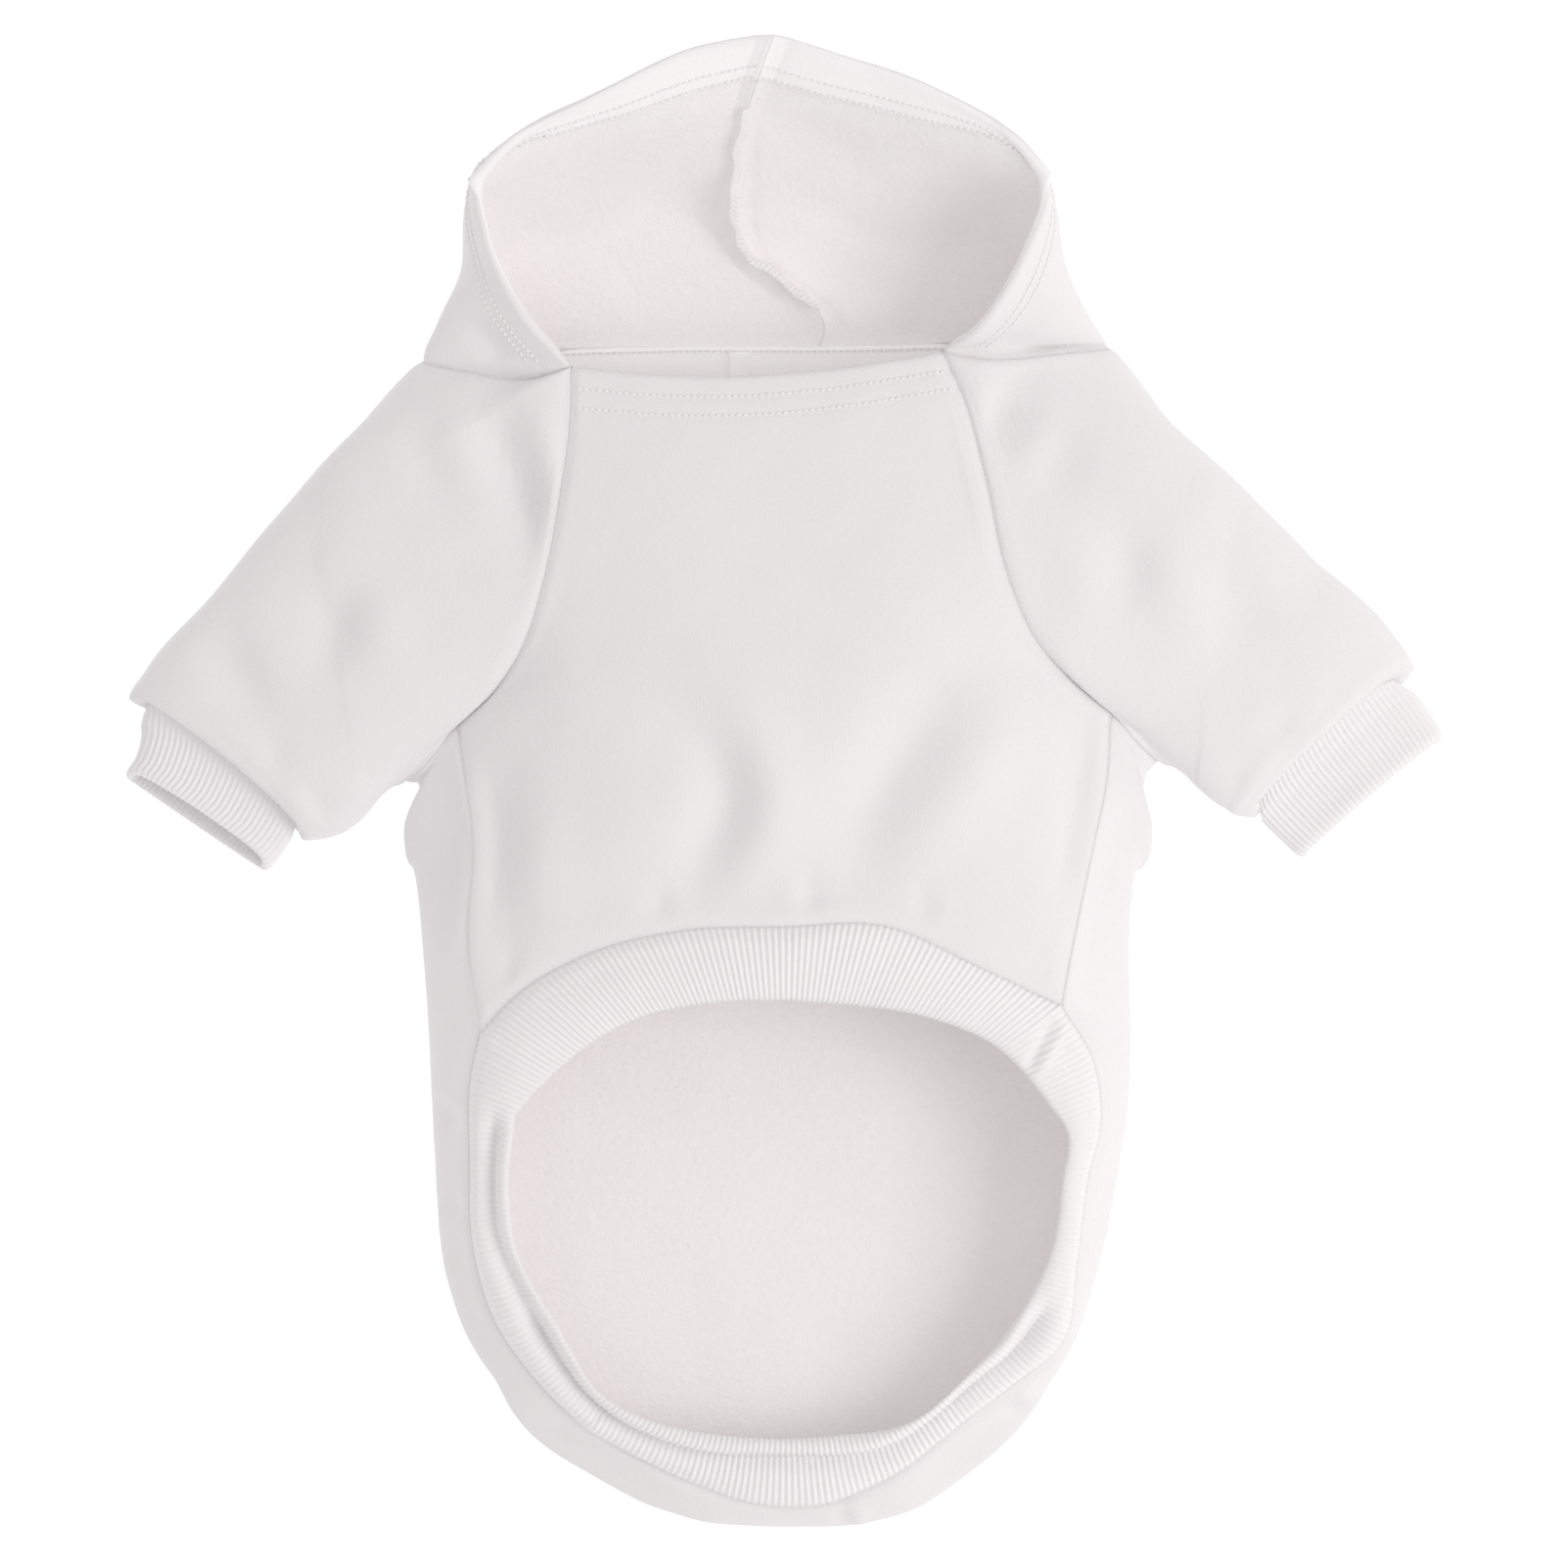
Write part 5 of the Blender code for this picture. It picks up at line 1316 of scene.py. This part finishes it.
@dataclass(frozen=True)
class ClothFinish:
    """How one face of the cloth looks: its colours, its knit and its brushed fibres, with painted shade in
    the knit's valleys and a painted glow.
    """

    name: str
    slot: str
    light: tuple[float, float, float]
    shade: tuple[float, float, float]
    wale: float
    course: float
    knit_height: float
    clumps: float
    hairs: float
    fuzz_height: float
    rough_low: float
    rough_high: float
    sheen: float
    # Painted light: how strongly the face glows in its light colour, to brighten it where shade falls
    painted_glow: float
    knit_share: float

    def material(self, fuzz: bpy.types.NodeTree, knit: bpy.types.NodeTree) -> bpy.types.Material:
        """The material, from the two shared groups.

        Args:
            fuzz: Group of brushed fibres.
            knit: Group of knitted rows.

        Returns:
            The material.
        """
        made = bpy.data.materials.new(self.name)
        made.use_nodes = True
        graph = Graph(made.node_tree)
        shader = made.node_tree.nodes["Principled BSDF"]
        fibres = graph.feed(graph.add("ShaderNodeGroup", node_tree=fuzz), Clumps=self.clumps,
                            Hairs=self.hairs)
        rows = graph.feed(graph.add("ShaderNodeGroup", node_tree=knit), Wale=self.wale,
                          Course=self.course)
        # The colour runs to the shade colour with random tone in the fibres and with painted shade in the
        # knit's valleys
        amount = graph.calc("ADD", graph.calc("MULTIPLY", fibres.outputs["Tint"], 1 - self.knit_share),
                            graph.calc("MULTIPLY", rows.outputs["Painted Shade"], self.knit_share))
        ramp = graph.add("ShaderNodeMix", data_type="RGBA")
        graph.link(amount, ramp.inputs[0])
        ramp.inputs[6].default_value = (*self.light, 1.0)
        ramp.inputs[7].default_value = (*self.shade, 1.0)
        graph.link(ramp.outputs[2], shader.inputs["Base Color"])
        spread = self.rough_high - self.rough_low
        rough = graph.calc("MULTIPLY_ADD", fibres.outputs["Height"], spread, self.rough_low)
        graph.link(rough, shader.inputs["Roughness"])
        knit_bump = graph.feed(graph.add("ShaderNodeBump"), Strength=1.0, Distance=self.knit_height,
                               Height=rows.outputs["Height"])
        fuzz_bump = graph.feed(graph.add("ShaderNodeBump"), Strength=1.0, Distance=self.fuzz_height,
                               Height=fibres.outputs["Height"], Normal=knit_bump.outputs["Normal"])
        graph.link(fuzz_bump.outputs["Normal"], shader.inputs["Normal"])
        shader.inputs["Sheen Weight"].default_value = self.sheen
        shader.inputs["Sheen Roughness"].default_value = 0.5
        shader.inputs["Specular IOR Level"].default_value = 0.2
        # Painted light: a glow in the face's light colour lifts the cloth where it lies in shade
        shader.inputs["Emission Color"].default_value = (*self.light, 1.0)
        shader.inputs["Emission Strength"].default_value = self.painted_glow
        return made


JERSEY = ClothFinish(
    name="jersey_outside", slot="white_fleece", light=(0.912, 0.888, 0.900), shade=(0.868, 0.838, 0.850),
    wale=0.00095, course=0.00080, knit_height=0.00003, clumps=620.0, hairs=2300.0, fuzz_height=0.00026,
    rough_low=0.80, rough_high=0.98, sheen=0.15, painted_glow=0.0, knit_share=0.12,
)
# Painted light: the fleece glows a little, which lifts the shaded insides of the hood and the hem opening
FLEECE = ClothFinish(
    name="fleece_inside_painted_glow", slot="white_fleece", light=(0.935, 0.906, 0.910), shade=(0.862, 0.820, 0.828),
    wale=0.0030, course=0.0030, knit_height=0.00001, clumps=430.0, hairs=1500.0, fuzz_height=0.00085,
    rough_low=0.90, rough_high=1.0, sheen=0.25, painted_glow=0.105, knit_share=0.0,
)
RIB = ClothFinish(
    name="rib_knit", slot="white_rib", light=(0.955, 0.938, 0.948), shade=(0.905, 0.878, 0.890),
    wale=0.00060, course=0.00055, knit_height=0.00005, clumps=900.0, hairs=2600.0, fuzz_height=0.00012,
    rough_low=0.80, rough_high=0.98, sheen=0.12, painted_glow=0.0, knit_share=0.25,
)
# Painted light: a lighter copy of the jersey that also glows, for the turned-in facing along the hood's rim
# and the belly's neck edge, to brighten it in shade
FACING = replace(
    JERSEY, name="jersey_facing_painted_light", light=(0.965, 0.950, 0.962), shade=(0.925, 0.905, 0.918), painted_glow=0.05,
)
# Painted light: the rib made lighter and glowing for the neck strip and tab, to brighten them in the shade
# under the neck edge
TAPE = replace(
    RIB, name="tape_weave_painted_light", slot="white_fleece", light=(0.970, 0.950, 0.952), shade=(0.925, 0.895, 0.898),
    course=0.00060, fuzz_height=0.00010, rough_high=0.95, sheen=0.10, painted_glow=0.12,
)
THREAD = ClothFinish(
    name="sewing_thread", slot="white_fleece", light=(0.96, 0.95, 0.955), shade=(0.92, 0.905, 0.91),
    wale=0.00030, course=0.00030, knit_height=0.00001, clumps=3000.0, hairs=6000.0, fuzz_height=0.00003,
    rough_low=0.55, rough_high=0.75, sheen=0.05, painted_glow=0.0, knit_share=0.25,
)


def geometry_tree(name: str, numbers: dict[str, float]) -> tuple[Graph, dict]:
    """A geometry tree with named number inputs and a material input.

    Args:
        name: The tree's name.
        numbers: Default value of each number.

    Returns:
        The tree's graph, and its inputs as outputs of the input node.
    """
    tree = bpy.data.node_groups.new(name, "GeometryNodeTree")
    tree.interface.new_socket("Geometry", in_out="INPUT", socket_type="NodeSocketGeometry")
    for label, value in numbers.items():
        socket = tree.interface.new_socket(label, in_out="INPUT", socket_type="NodeSocketFloat")
        socket.default_value = value
    tree.interface.new_socket("Material", in_out="INPUT", socket_type="NodeSocketMaterial")
    tree.interface.new_socket("Geometry", in_out="OUTPUT", socket_type="NodeSocketGeometry")
    graph = Graph(tree)
    return graph, graph.add("NodeGroupInput").outputs


def close_tree(graph: Graph, given: dict, geometry: bpy.types.NodeSocket) -> bpy.types.NodeTree:
    """Make a tree's result real, paint it with the tree's material and send it out.

    Args:
        graph: The tree's graph.
        given: The tree's inputs.
        geometry: The result.

    Returns:
        The tree.
    """
    real = graph.feed(graph.add("GeometryNodeRealizeInstances"), Geometry=geometry)
    painted = graph.feed(graph.add("GeometryNodeSetMaterial"), Geometry=real.outputs["Geometry"],
                         Material=given["Material"])
    graph.feed(graph.add("NodeGroupOutput"), Geometry=painted.outputs["Geometry"])
    return graph.tree


def stitch_tree() -> bpy.types.NodeTree:
    """Stitches laid end to end along lines, each turned by an angle to its line."""
    graph, given = geometry_tree("stitch_rows", {"Pitch": 0.002, "Length": 0.0017, "Width": 0.0005,
                                                 "Turn": 0.0})
    curve = graph.add("GeometryNodeMeshToCurve")
    graph.link(given["Geometry"], curve.inputs["Mesh"])
    cut = graph.add("GeometryNodeResampleCurve", mode="LENGTH")
    graph.feed(cut, Curve=curve.outputs["Curve"], Length=given["Pitch"])
    bead = graph.add("GeometryNodeMeshUVSphere")
    graph.feed(bead, Segments=6, Rings=4, Radius=0.5)
    size = graph.add("ShaderNodeCombineXYZ")
    graph.feed(size, X=given["Length"], Y=given["Width"], Z=given["Width"])
    angle = graph.add("ShaderNodeCombineXYZ")
    graph.feed(angle, Z=given["Turn"])
    stitch = graph.add("GeometryNodeTransform")
    graph.feed(stitch, Geometry=bead.outputs["Mesh"], Scale=size.outputs["Vector"],
               Rotation=angle.outputs["Vector"])
    smooth = graph.feed(graph.add("GeometryNodeSetShadeSmooth"), Geometry=stitch.outputs["Geometry"])
    facing = graph.add("FunctionNodeAlignRotationToVector", axis="X")
    tangent = graph.add("GeometryNodeInputTangent")
    graph.feed(facing, Vector=tangent.outputs["Tangent"])
    rows = graph.add("GeometryNodeInstanceOnPoints")
    graph.feed(rows, Points=cut.outputs["Curve"], Instance=smooth.outputs["Geometry"],
               Rotation=facing.outputs["Rotation"])
    return close_tree(graph, given, rows.outputs["Instances"])


def rib_tree() -> bpy.types.NodeTree:
    """Ribs raised on a cloth along its normals, by the count kept in the attribute rib_turn."""
    graph, given = geometry_tree("rib_relief", {"Relief": 0.0004})
    count = graph.add("GeometryNodeInputNamedAttribute", data_type="FLOAT")
    count.inputs["Name"].default_value = "rib_turn"
    keep = graph.add("GeometryNodeInputNamedAttribute", data_type="FLOAT")
    keep.inputs["Name"].default_value = "rib_keep"
    wave = graph.calc("COSINE", graph.calc("MULTIPLY", count.outputs["Attribute"], 2 * math.pi))
    height = graph.calc("MULTIPLY", graph.calc("MULTIPLY", wave, given["Relief"]),
                        keep.outputs["Attribute"])
    normal = graph.add("GeometryNodeInputNormal")
    offset = graph.add("ShaderNodeVectorMath", operation="SCALE")
    graph.link(normal.outputs["Normal"], offset.inputs[0])
    graph.link(height, offset.inputs["Scale"])
    moved = graph.feed(graph.add("GeometryNodeSetPosition"), Geometry=given["Geometry"],
                       Offset=offset.outputs["Vector"])
    return close_tree(graph, given, moved.outputs["Geometry"])


def grow(made: bpy.types.Object, tree: bpy.types.NodeTree, **values: object) -> bpy.types.Object:
    """Run a geometry tree on an object and keep the result as its plain mesh.

    Args:
        made: The object.
        tree: The tree.
        values: The tree's inputs by name.

    Returns:
        The same object.
    """
    modifier = made.modifiers.new(tree.name, "NODES")
    modifier.node_group = tree
    for item in tree.interface.items_tree:
        if item.in_out == "INPUT" and item.name in values:
            modifier[item.identifier] = values[item.name]
    depsgraph = bpy.context.evaluated_depsgraph_get()
    depsgraph.update()
    result = bpy.data.meshes.new_from_object(made.evaluated_get(depsgraph))
    made.modifiers.remove(modifier)
    made.data = result
    return made


@dataclass
class Finishes:
    """Every material and tree that the pieces share."""

    jersey: bpy.types.Material = field(init=False)
    fleece: bpy.types.Material = field(init=False)
    rib: bpy.types.Material = field(init=False)
    thread: bpy.types.Material = field(init=False)
    tape: bpy.types.Material = field(init=False)
    facing: bpy.types.Material = field(init=False)
    stitches: bpy.types.NodeTree = field(init=False)
    ribs: bpy.types.NodeTree = field(init=False)

    def __post_init__(self) -> None:
        """Build them once."""
        fuzz = fuzz_group()
        knit = knit_group()
        self.jersey = JERSEY.material(fuzz, knit)
        self.fleece = FLEECE.material(fuzz, knit)
        self.rib = RIB.material(fuzz, knit)
        self.thread = THREAD.material(fuzz, knit)
        self.tape = TAPE.material(fuzz, knit)
        self.facing = FACING.material(fuzz, knit)
        self.stitches = stitch_tree()
        self.ribs = rib_tree()


@dataclass
class StitchRows:
    """Rows of stitches that belong to one cloth."""

    name: str
    lines: list[Array]
    pitch: float = 0.0021
    length: float = 0.0018
    width: float = 0.0008
    turn: float = 0.0

    def build(self, finishes: Finishes) -> bpy.types.Object:
        """The stitches as one mesh."""
        points = np.concatenate(self.lines)
        edges = []
        start = 0
        for line in self.lines:
            edges += [(start + i, start + i + 1) for i in range(len(line) - 1)]
            start += len(line)
        mesh = bpy.data.meshes.new(self.name)
        mesh.from_pydata(points.tolist(), edges, [])
        made = placed(self.name, mesh)
        grow(made, finishes.stitches, Pitch=self.pitch, Length=self.length, Width=self.width,
             Turn=self.turn, Material=finishes.thread)
        made.data.name = self.name
        return made


def row_line(cloth: Cloth, face: Array, gap: Array, at: float, axis: int, lift: float) -> Array:
    """Points of a face at a distance from an edge, one per line of the grid.

    Args:
        cloth: The panel.
        face: Its outer or inner face.
        gap: Distance from the edge at each grid point.
        at: The distance wanted.
        axis: The grid axis along which the distance grows.
        lift: How far the points stand off along the outward direction.

    Returns:
        One point per line of the grid.
    """
    stood = face + cloth.outward * lift
    if axis == 1:
        stood, gap = stood.transpose(1, 0, 2), gap.T
    points = []
    for k in range(gap.shape[1]):
        order = np.argsort(gap[:, k])
        points.append([np.interp(at, gap[order, k], stood[order, k, i]) for i in range(3)])
    return np.array(points)


def round_bar(name: str, line: Array, lift: Array, half_width: float, thickness: float,
              material: bpy.types.Material, wobble: float = 0.0,
              fullness: Array | None = None) -> bpy.types.Object:
    """A bar with a rounded section along a line, closed at both ends.

    Args:
        name: The piece's name.
        line: The middle of its underside.
        lift: Direction from underside to top at each point.
        half_width: Half its width.
        thickness: Its height.
        material: Its finish.
        wobble: How far its sides wander.
        fullness: Share of the height at each point of the line.

    Returns:
        The object.
    """
    count = BAR_STEPS
    reach = np.linspace(0, 1, len(line))
    fine = np.linspace(0, 1, count)
    line = through(reach, line, fine)
    lift = through(reach, lift, fine)
    ahead = np.gradient(line, axis=0)
    ahead /= np.linalg.norm(ahead, axis=1, keepdims=True)
    side = np.cross(ahead, lift)
    side /= np.linalg.norm(side, axis=1, keepdims=True)
    high = np.cross(side, ahead)
    turns = np.linspace(0, 2 * np.pi, BAR_SIDES, endpoint=False)
    across = np.sign(np.cos(turns)) * np.abs(np.cos(turns)) ** BAR_SQUARENESS
    up = 0.5 + 0.5 * np.sign(np.sin(turns)) * np.abs(np.sin(turns)) ** BAR_SQUARENESS
    ends = np.sqrt(np.clip(1 - (2 * fine - 1) ** BAR_END_POWER, BAR_END_LEAST, 1))[:, None]
    full = np.ones(count) if fullness is None else through(reach, fullness, fine)
    drift = wobble * waves(line, WOBBLE_LENGTH, WOBBLE_SEED)[:, None, None] * side[:, None]
    beside = side[:, None] * (across * half_width)[None, :, None] * ends[..., None]
    above = high[:, None] * (0.5 + (up - 0.5)[None] * ends)[..., None] * thickness * full[:, None, None]
    points = line[:, None] + drift + beside + above
    n = len(turns)
    faces = [(n * i + k, n * i + (k + 1) % n, n * i + n + (k + 1) % n, n * i + n + k)
             for i in range(count - 1) for k in range(n)]
    mesh = bpy.data.meshes.new(name)
    faces.append(tuple(reversed(range(n))))
    faces.append(tuple(range(n * (count - 1), n * count)))
    mesh.from_pydata(points.reshape(-1, 3).tolist(), [], faces)
    layer = mesh.uv_layers.new(name="cloth_map")
    run = np.concatenate([[0], np.cumsum(np.linalg.norm(np.diff(line, axis=0), axis=1))])
    around = turns / (2 * np.pi) * 4 * half_width
    corners = np.zeros((len(mesh.loops), 2))
    ids = np.array([loop.vertex_index for loop in mesh.loops])
    corners[:, 0] = around[ids % n]
    corners[:, 1] = run[ids // n]
    layer.data.foreach_set("uv", corners.astype(np.float32).ravel())
    mesh.materials.append(material)
    mesh.shade_smooth()
    made = placed(name, mesh)
    if np.einsum("ij,ij->i", *outward_test(mesh)).sum() < 0:
        mesh.flip_normals()
    return made


def outward_test(mesh: bpy.types.Mesh) -> tuple[Array, Array]:
    """Face centres and area normals, whose dot products add up to three times the volume."""
    count = len(mesh.polygons)
    centres, normals, areas = np.zeros(count * 3), np.zeros(count * 3), np.zeros(count)
    mesh.polygons.foreach_get("center", centres)
    mesh.polygons.foreach_get("normal", normals)
    mesh.polygons.foreach_get("area", areas)
    return centres.reshape(-1, 3), normals.reshape(-1, 3) * areas[:, None]


@dataclass(frozen=True)
class Studio:
    """The floor, the light and the camera straight above."""

    camera_height: float = 4.0
    sensor: float = 36.0
    floor_half: float = 4.0
    floor_drop: float = 0.0004
    floor_grey: float = 0.5
    floor_glow: float = 0.64
    world_strength: float = 0.72
    key_power: float = 8.9
    key_size: float = 0.9
    key_place: tuple[float, float, float] = (1.15, -0.28, 1.35)

    def camera(self) -> None:
        """A long lens straight above the middle of the photograph."""
        data = bpy.data.cameras.new("camera")
        data.sensor_width = self.sensor
        data.lens = self.sensor * self.camera_height / PHOTO_WIDTH
        data.clip_end = 100.0
        made = placed("camera", data)
        made.location = (0.0, PHOTO_CENTRE_Y, self.camera_height)
        bpy.context.scene.camera = made

    def floor(self) -> None:
        """A plain white surface under the hoodie."""
        mesh = bpy.data.meshes.new("floor")
        far = self.floor_half
        low = -self.floor_drop
        mesh.from_pydata([(-far, -far, low), (far, -far, low), (far, far, low), (-far, far, low)], [],
                         [(0, 1, 2, 3)])
        material = bpy.data.materials.new("white_floor")
        material.use_nodes = True
        shader = material.node_tree.nodes["Principled BSDF"]
        shader.inputs["Base Color"].default_value = (*[self.floor_grey] * 3, 1.0)
        shader.inputs["Roughness"].default_value = 1.0
        shader.inputs["Specular IOR Level"].default_value = 0.0
        shader.inputs["Emission Color"].default_value = (1.0, 1.0, 1.0, 1.0)
        shader.inputs["Emission Strength"].default_value = self.floor_glow
        mesh.materials.append(material)
        made = placed("floor", mesh)

    def light(self) -> None:
        """An even white surround and one large soft light from the right."""
        world = bpy.data.worlds.new("surround")
        world.use_nodes = True
        back = world.node_tree.nodes["Background"]
        back.inputs["Color"].default_value = (1.0, 0.99, 0.985, 1.0)
        back.inputs["Strength"].default_value = self.world_strength
        bpy.context.scene.world = world
        data = bpy.data.lights.new("key", "AREA")
        data.size = self.key_size
        data.energy = self.key_power
        data.color = (1.0, 0.985, 0.97)
        made = placed("key", data)
        made.location = self.key_place
        aim = -np.array(self.key_place)
        made.rotation_euler = (math.acos(-aim[2] / np.linalg.norm(aim)), 0.0,
                               math.atan2(aim[1], aim[0]) - math.pi / 2)

    def build(self) -> None:
        """Camera, floor and light."""
        bpy.context.scene.view_settings.view_transform = "Standard"
        self.camera()
        self.floor()
        self.light()


def mark_ribs(made: bpy.types.Object, cloth: Cloth) -> None:
    """Write each point's place in the row of ribs, and how far its rib stands.

    Args:
        made: The cloth's object.
        cloth: The cloth.
    """
    rows, columns = cloth.grid.shape[:2]
    loop = cloth.base[rows // 2]
    steps = np.linalg.norm(np.roll(loop, -1, axis=0) - loop, axis=1)
    run = np.concatenate([[0], np.cumsum(steps)])
    turn = np.tile(run[:-1] / run[-1] * round(run[-1] / RIB_PITCH), rows)
    near_seam = ease(cloth.gap("top") / RIB_SEAM_FADE)
    near_edge = RIB_EDGE_SHARE + (1 - RIB_EDGE_SHARE) * ease(cloth.gap("bottom") / RIB_EDGE_FADE)
    keep = (near_seam * near_edge).ravel()
    mesh = made.data
    for name, values in (("rib_turn", turn), ("rib_keep", keep)):
        attribute = mesh.attributes.new(name, "FLOAT", "POINT")
        attribute.data.foreach_set("value", np.concatenate([values, values]).astype(np.float32))


def join_seams(cloths: list[Cloth]) -> None:
    """Give neighbours one outward direction along the seam between them."""
    places = []
    directions = []
    for cloth in cloths:
        for edge in cloth.sewn():
            index = cloth.border(edge)
            places.extend(cloth.base[index])
            directions.extend(cloth.outward[index])
    tree = KDTree(len(places))
    for i, place in enumerate(places):
        tree.insert(place, i)
    tree.balance()
    for cloth in cloths:
        cloth.meet(tree, directions)


def dress(made: bpy.types.Object, slot: str, *nodes: str) -> bpy.types.Object:
    """Put a finished piece on the frame's body, in place of its nodes.

    Args:
        made: The piece.
        slot: The record's material slot; it is not used.
        nodes: The CAD nodes that it stands for.

    Returns:
        The piece.
    """
    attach(made, "root")
    if nodes:
        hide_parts(*nodes)
    made.data.calc_loop_triangles()
    logging.info("%s: %d triangles", made.name, len(made.data.loop_triangles))
    return made


def declare(made: bpy.types.Object, cloth: Cloth) -> None:
    """Say how large the cloth was cut."""
    width, length, area = cloth.flat_size()
    logging.info("%s: cut %.0f by %.0f mm, %.4f square metres", made.name, width * 1000, length * 1000,
                 area)


def main() -> None:
    """Build every piece in order."""
    logging.basicConfig(level=logging.INFO, format="%(message)s")
    Studio().build()
    block = Block()
    finishes = Finishes()
    body = Body(block)
    hood = Hood(block)
    cloths = body.cloths()
    for side in Side:
        cloths += Sleeve(block, side).cloths()
    cloths += HemBand(block).cloths()
    cloths += hood.cloths()
    join_seams(cloths)
    for seed, cloth in enumerate(cloths):
        cloth.slacken(block, WAVE_SEED_STEP * seed + FIRST_WAVE_SEED)
        cloth.sink_seams(block)
        if cloth.node == "belly_panel":
            for row in (body.hem_row, body.second_hem_row):
                cloth.stitch_groove(cloth.gap("top"), row)
        if cloth.node.startswith("hood"):
            rim = np.minimum(cloth.gap("left"), cloth.gap("bottom"))
            for row in (hood.facing_row, hood.second_facing_row):
                cloth.stitch_groove(rim, row)
    by_node = {cloth.node: cloth for cloth in cloths}
    pieces = {}
    for cloth in cloths:
        ribbed = cloth.node.startswith(("cuff", "hem"))
        faces = (finishes.rib, finishes.rib) if ribbed else (finishes.jersey, finishes.fleece)
        made = cloth.build(*faces, finishes.facing)
        if ribbed:
            mark_ribs(made, cloth)
            grow(made, finishes.ribs, Relief=RIB_RELIEF, Material=finishes.rib)
            made.data.name = made.name
        pieces[cloth.node] = dress(made, "white_rib" if ribbed else "white_fleece", cloth.node)
    belly = by_node["belly_panel"]
    chest_rows = [row_line(belly, belly.grid, belly.gap("top"), at, 0, STITCH_LIFT)[4:-4]
                  for at in (body.hem_row, body.second_hem_row)]
    chest = dress(StitchRows("chest_stitches", chest_rows).build(finishes), "white_fleece")
    going = {"belly_panel": [chest]}
    for side in Side:
        half = by_node["hood_" + side.value]
        rows = hood_rows(half, hood)
        made = dress(StitchRows(f"hood_stitches_{side.value}", rows).build(finishes), "white_fleece")
        going["hood_" + side.value] = [made]
    ridge, ridge_thread = hood_ridge(by_node["hood_left"], finishes)
    strip, tab, tape_thread = neck_tape(block, finishes)
    going["hood_left"] += [ridge, ridge_thread]
    for node, cloth in by_node.items():
        declare(pieces[node], cloth)


def hood_rows(half: Cloth, hood: Hood) -> list[Array]:
    """Stitch lines along the hood's rim, on both faces of one half."""
    rows = []
    inner = half.inner_face()
    beside_rim = half.gap("left")
    below_rim = half.gap("bottom")
    for at in (hood.facing_row, hood.second_facing_row):
        for face, lift in ((half.grid, STITCH_LIFT), (inner, -STITCH_LIFT)):
            side = row_line(half, face, beside_rim, at, 1, lift)
            top = row_line(half, face, below_rim, at, 0, lift)
            side_clear = np.array([np.interp(at, beside_rim[r], below_rim[r]) for r in range(len(side))])
            top_clear = np.array([np.interp(-at, -below_rim[:, c], beside_rim[:, c])
                                  for c in range(len(top))])
            rows.append(np.concatenate([side[side_clear > at][3:], top[top_clear > at][:-3]]))
    return rows


def hood_ridge(half: Cloth, finishes: Finishes) -> tuple[bpy.types.Object, bpy.types.Object]:
    """The overlocked seam allowance that stands up inside the hood's centre seam."""
    lift = -half.outward[RIDGE_ROWS, -1]
    line = half.inner_face()[RIDGE_ROWS, -1] + lift * STITCH_LIFT
    sinking = ease((np.linspace(0, 1, len(line)) - RIDGE_SINKS_AT) / RIDGE_SINKS_OVER)
    fullness = 1 - RIDGE_SINK * sinking
    ridge = round_bar("hood_seam_ridge", line, lift, RIDGE_WIDTH / 2, RIDGE_HEIGHT, finishes.fleece,
                      wobble=RIDGE_WOBBLE, fullness=fullness)
    middle = line + lift * (RIDGE_HEIGHT * fullness + THREAD_LIFT)[:, None]
    overlocked = middle[:round(OVERLOCK_SHARE * len(line))]
    thread = StitchRows("hood_overlock", [overlocked], pitch=0.0016, length=RIDGE_WIDTH * 1.1, width=0.0007,
                        turn=OVERLOCK_TURN).build(finishes)
    return dress(ridge, "white_fleece", "hood_seam"), dress(thread, "white_fleece")


def neck_tape(block: Block, finishes: Finishes) -> tuple[bpy.types.Object, ...]:
    """The strip behind the neck edge, the stub across it and the strip's stitches."""
    line = joined(block.nape_half(Side.LEFT), block.nape_half(Side.RIGHT)[::-1])
    line = line + np.array([0.0, -STRIP_WIDTH / 2, FLEECE_WALL + SEAM_GAP])
    upright = np.tile([0.0, 0.0, 1.0], (len(line), 1))
    strip = round_bar("neck_strip_tape", line, upright, STRIP_WIDTH / 2, STRIP_THICKNESS, finishes.tape)
    base = FLEECE_WALL + STRIP_THICKNESS + 2 * SEAM_GAP
    nape = block.body(BodyPoint(TAB_OUT, -0.015, 0.0))
    middle = np.array(nape) + np.array([0.0, -STRIP_WIDTH / 2, base])
    reach = np.linspace(TAB_LENGTH / 2, -TAB_LENGTH / 2, TAB_STEPS)[:, None] * np.array([0.0, 1.0, 0.0])
    tab = round_bar("neck_tab_stub", middle + reach, upright[:TAB_STEPS], TAB_WIDTH / 2, TAB_THICKNESS,
                    finishes.tape)
    rows = [line[4:-4] + np.array([0.0, shift * STRIP_WIDTH * TAPE_ROW_OUT, STRIP_THICKNESS + STITCH_LIFT])
            for shift in (-1, 1)]
    thread = StitchRows("neck_tape_stitches", rows).build(finishes)
    return (dress(strip, "white_fleece", "neck_seam"), dress(tab, "white_fleece", "neck_tab"),
            dress(thread, "white_fleece"))


if __name__ == "__main__":
    main()
